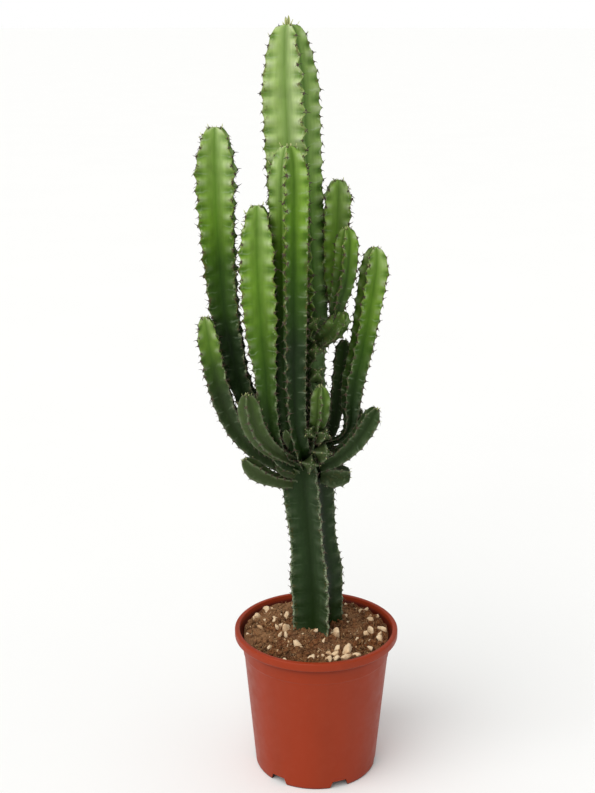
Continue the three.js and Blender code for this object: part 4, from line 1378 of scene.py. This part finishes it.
def stone(shape, fineness=2):
    """A rounded, lumpy grain about two millimetres across per unit of scale."""
    draw = random.Random(shape)
    bm = bmesh.new()
    for _ in range(STONE_POINTS):
        away = Vector([draw.gauss(0, 1) for _ in range(3)]).normalized()
        bm.verts.new(away * draw.uniform(*STONE_SIZES))
    loose = bmesh.ops.convex_hull(bm, input=bm.verts)
    spare = set(loose["geom_interior"] + loose["geom_unused"]).intersection(bm.verts)
    bmesh.ops.delete(bm, geom=list(spare), context="VERTS")
    bmesh.ops.triangulate(bm, faces=bm.faces)
    bmesh.ops.subdivide_edges(bm, edges=bm.edges, cuts=fineness, use_grid_fill=True)
    bmesh.ops.triangulate(bm, faces=bm.faces)
    for _ in range(fineness):
        bmesh.ops.smooth_vert(
            bm, verts=bm.verts, factor=0.5, use_axis_x=True, use_axis_y=True, use_axis_z=True
        )
    for vert in bm.verts:
        vert.co *= 1 + 0.2 * noise.noise(vert.co * 2.6 + Vector((0, 4.1 * shape, 0)))
    bmesh.ops.recalc_face_normals(bm, faces=bm.faces)
    return to_template(bm, f"stone_{shape}")


def sliver(bend):
    """A thin bent rod along X, one unit long."""
    bm = bmesh.new()
    bmesh.ops.create_cone(
        bm, cap_ends=True, segments=5, radius1=1, radius2=0.6, depth=1,
        matrix=Matrix.Rotation(math.radians(90), 4, "Y"),
    )
    along = [edge for edge in bm.edges if abs(edge.verts[0].co.x - edge.verts[1].co.x) > 0.5]
    bmesh.ops.subdivide_edges(bm, edges=along, cuts=3)
    for vert in bm.verts:
        vert.co.y += bend * 22 * (0.25 - vert.co.x**2)
    return to_template(bm, "sliver")


class EUPHORBIA_OT_pumice(bpy.types.Operator):
    """Add the pumice grains that lie in the soil"""

    bl_idname = "euphorbia.pumice"
    bl_label = "Pumice"

    def execute(self, context):
        soil = context.scene.euphorbia_soil
        draw = random.Random(PUMICE_SEED)
        bm = bmesh.new()
        grains = [stone(shape) for shape in range(20, 26)]
        chips = [stone(shape, 1) for shape in range(30, 34)]
        wall = inner_radius(SOIL_EDGE)
        listed = [(x, y, size, grains) for x, y, size in PUMICE_GRAINS]
        for _ in range(soil.chips):
            turn = draw.uniform(0, math.tau)
            away = (wall - 4) * math.sqrt(draw.random())
            size = 1.1 + 2.0 * draw.random() ** 2
            listed.append((away * math.cos(turn), away * math.sin(turn), size, chips))
        for x, y, size, shapes in listed:
            half = 0.8 * size
            inside = min(1, (wall - half - 0.8) / math.hypot(x, y))
            x, y = x * inside, y * inside
            place = placed(x, y, max(soil_height(x, y), surface_height(x, y)) + 0.2 * half)
            drop_on_soil(bm, draw, shapes, place, ((1, 1.2), (0.8, 1), (0.7, 0.95)), half)
        new_piece("pumice_grains", bm, pumice_material(soil), "potting_mix", ["soil"], 50)
        return {"FINISHED"}


# Studio


class EUPHORBIA_OT_studio(bpy.types.Operator):
    """Add the floor, the lights and the camera"""

    bl_idname = "euphorbia.studio"
    bl_label = "Studio"

    def key_light(self, studio):
        """A wide soft light from the upper left, in front of the plant."""
        lamp = bpy.data.lights.new("Key", "SUN")
        lamp.energy = studio.key_power
        lamp.angle = studio.key_width
        holder = bpy.data.objects.new("Key", lamp)
        holder.location = KEY_FROM
        holder.rotation_euler = (-Vector(KEY_FROM)).to_track_quat("-Z", "Y").to_euler()
        bpy.context.collection.objects.link(holder)

    def sky(self, studio):
        """Even light all round, before a backdrop that only the camera sees brighter."""
        world = bpy.data.worlds.new("Studio Sky")
        world.use_nodes = True
        nodes = NodeTree(world.node_tree)
        seen = nodes.add("ShaderNodeLightPath").outputs["Is Camera Ray"]
        sky = next(node for node in world.node_tree.nodes if node.type == "BACKGROUND")
        strength = nodes.stretch(seen, 0, 1, studio.sky, studio.backdrop)
        nodes.fill(sky, {"Color": (1, 1, 1), "Strength": strength})
        return world

    def execute(self, context):
        studio = context.scene.euphorbia_studio
        bm = bmesh.new()
        bmesh.ops.create_circle(bm, cap_ends=True, segments=96, radius=FLOOR_RADIUS)
        mesh = to_template(bm, "floor")
        mesh.materials.append(floor_material(studio))
        floor = bpy.data.objects.new("floor", mesh)
        context.collection.objects.link(floor)
        floor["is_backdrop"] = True
        self.key_light(studio)
        context.scene.world = self.sky(studio)
        context.scene.view_settings.view_transform = "Standard"

        camera = bpy.data.objects.new("Camera", bpy.data.cameras.new("Camera"))
        camera.location = placed(CAMERA_X, -CAMERA_DISTANCE, CAMERA_HEIGHT)
        camera.rotation_euler = (math.radians(CAMERA_TILT), 0, 0)
        camera.data.lens = studio.lens
        camera.data.sensor_width = CAMERA_SENSOR
        context.collection.objects.link(camera)
        context.scene.camera = camera
        return {"FINISHED"}


OPERATORS = (
    EUPHORBIA_OT_pot,
    EUPHORBIA_OT_soil,
    EUPHORBIA_OT_pumice,
    EUPHORBIA_OT_main_stem,
    EUPHORBIA_OT_branches,
    EUPHORBIA_OT_young_leaves,
    EUPHORBIA_OT_studio,
)
SETTINGS = {
    "euphorbia_pot": EuphorbiaPotSettings,
    "euphorbia_soil": EuphorbiaSoilSettings,
    "euphorbia_stems": EuphorbiaStemSettings,
    "euphorbia_studio": EuphorbiaStudioSettings,
}


class EUPHORBIA_PT_panel(bpy.types.Panel):
    """Lists the plant's pieces and their settings"""

    bl_label = "Potted Euphorbia"
    bl_idname = "EUPHORBIA_PT_panel"
    bl_space_type = "VIEW_3D"
    bl_region_type = "UI"
    bl_category = "Euphorbia"

    def draw(self, context):
        for name, group in SETTINGS.items():
            box = self.layout.box()
            box.label(text=group.__doc__)
            for prop in group.__annotations__:
                box.prop(getattr(context.scene, name), prop)
        for operator in OPERATORS:
            self.layout.operator(operator.bl_idname)


def register():
    for cls in (*SETTINGS.values(), *OPERATORS, EUPHORBIA_PT_panel):
        bpy.utils.register_class(cls)
    for name, group in SETTINGS.items():
        setattr(bpy.types.Scene, name, bpy.props.PointerProperty(type=group))


def unregister():
    for name in SETTINGS:
        delattr(bpy.types.Scene, name)
    for cls in (EUPHORBIA_PT_panel, *reversed(OPERATORS), *reversed(SETTINGS.values())):
        bpy.utils.unregister_class(cls)


def main():
    register()
    for operator in OPERATORS:
        family, name = operator.bl_idname.split(".")
        getattr(getattr(bpy.ops, family), name)()
    boxes = {"cad": CAD_BOX, "visual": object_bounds()}
    {name: [list(corner) for corner in box] for name, box in boxes.items()}


if __name__ == "__main__":
    main()
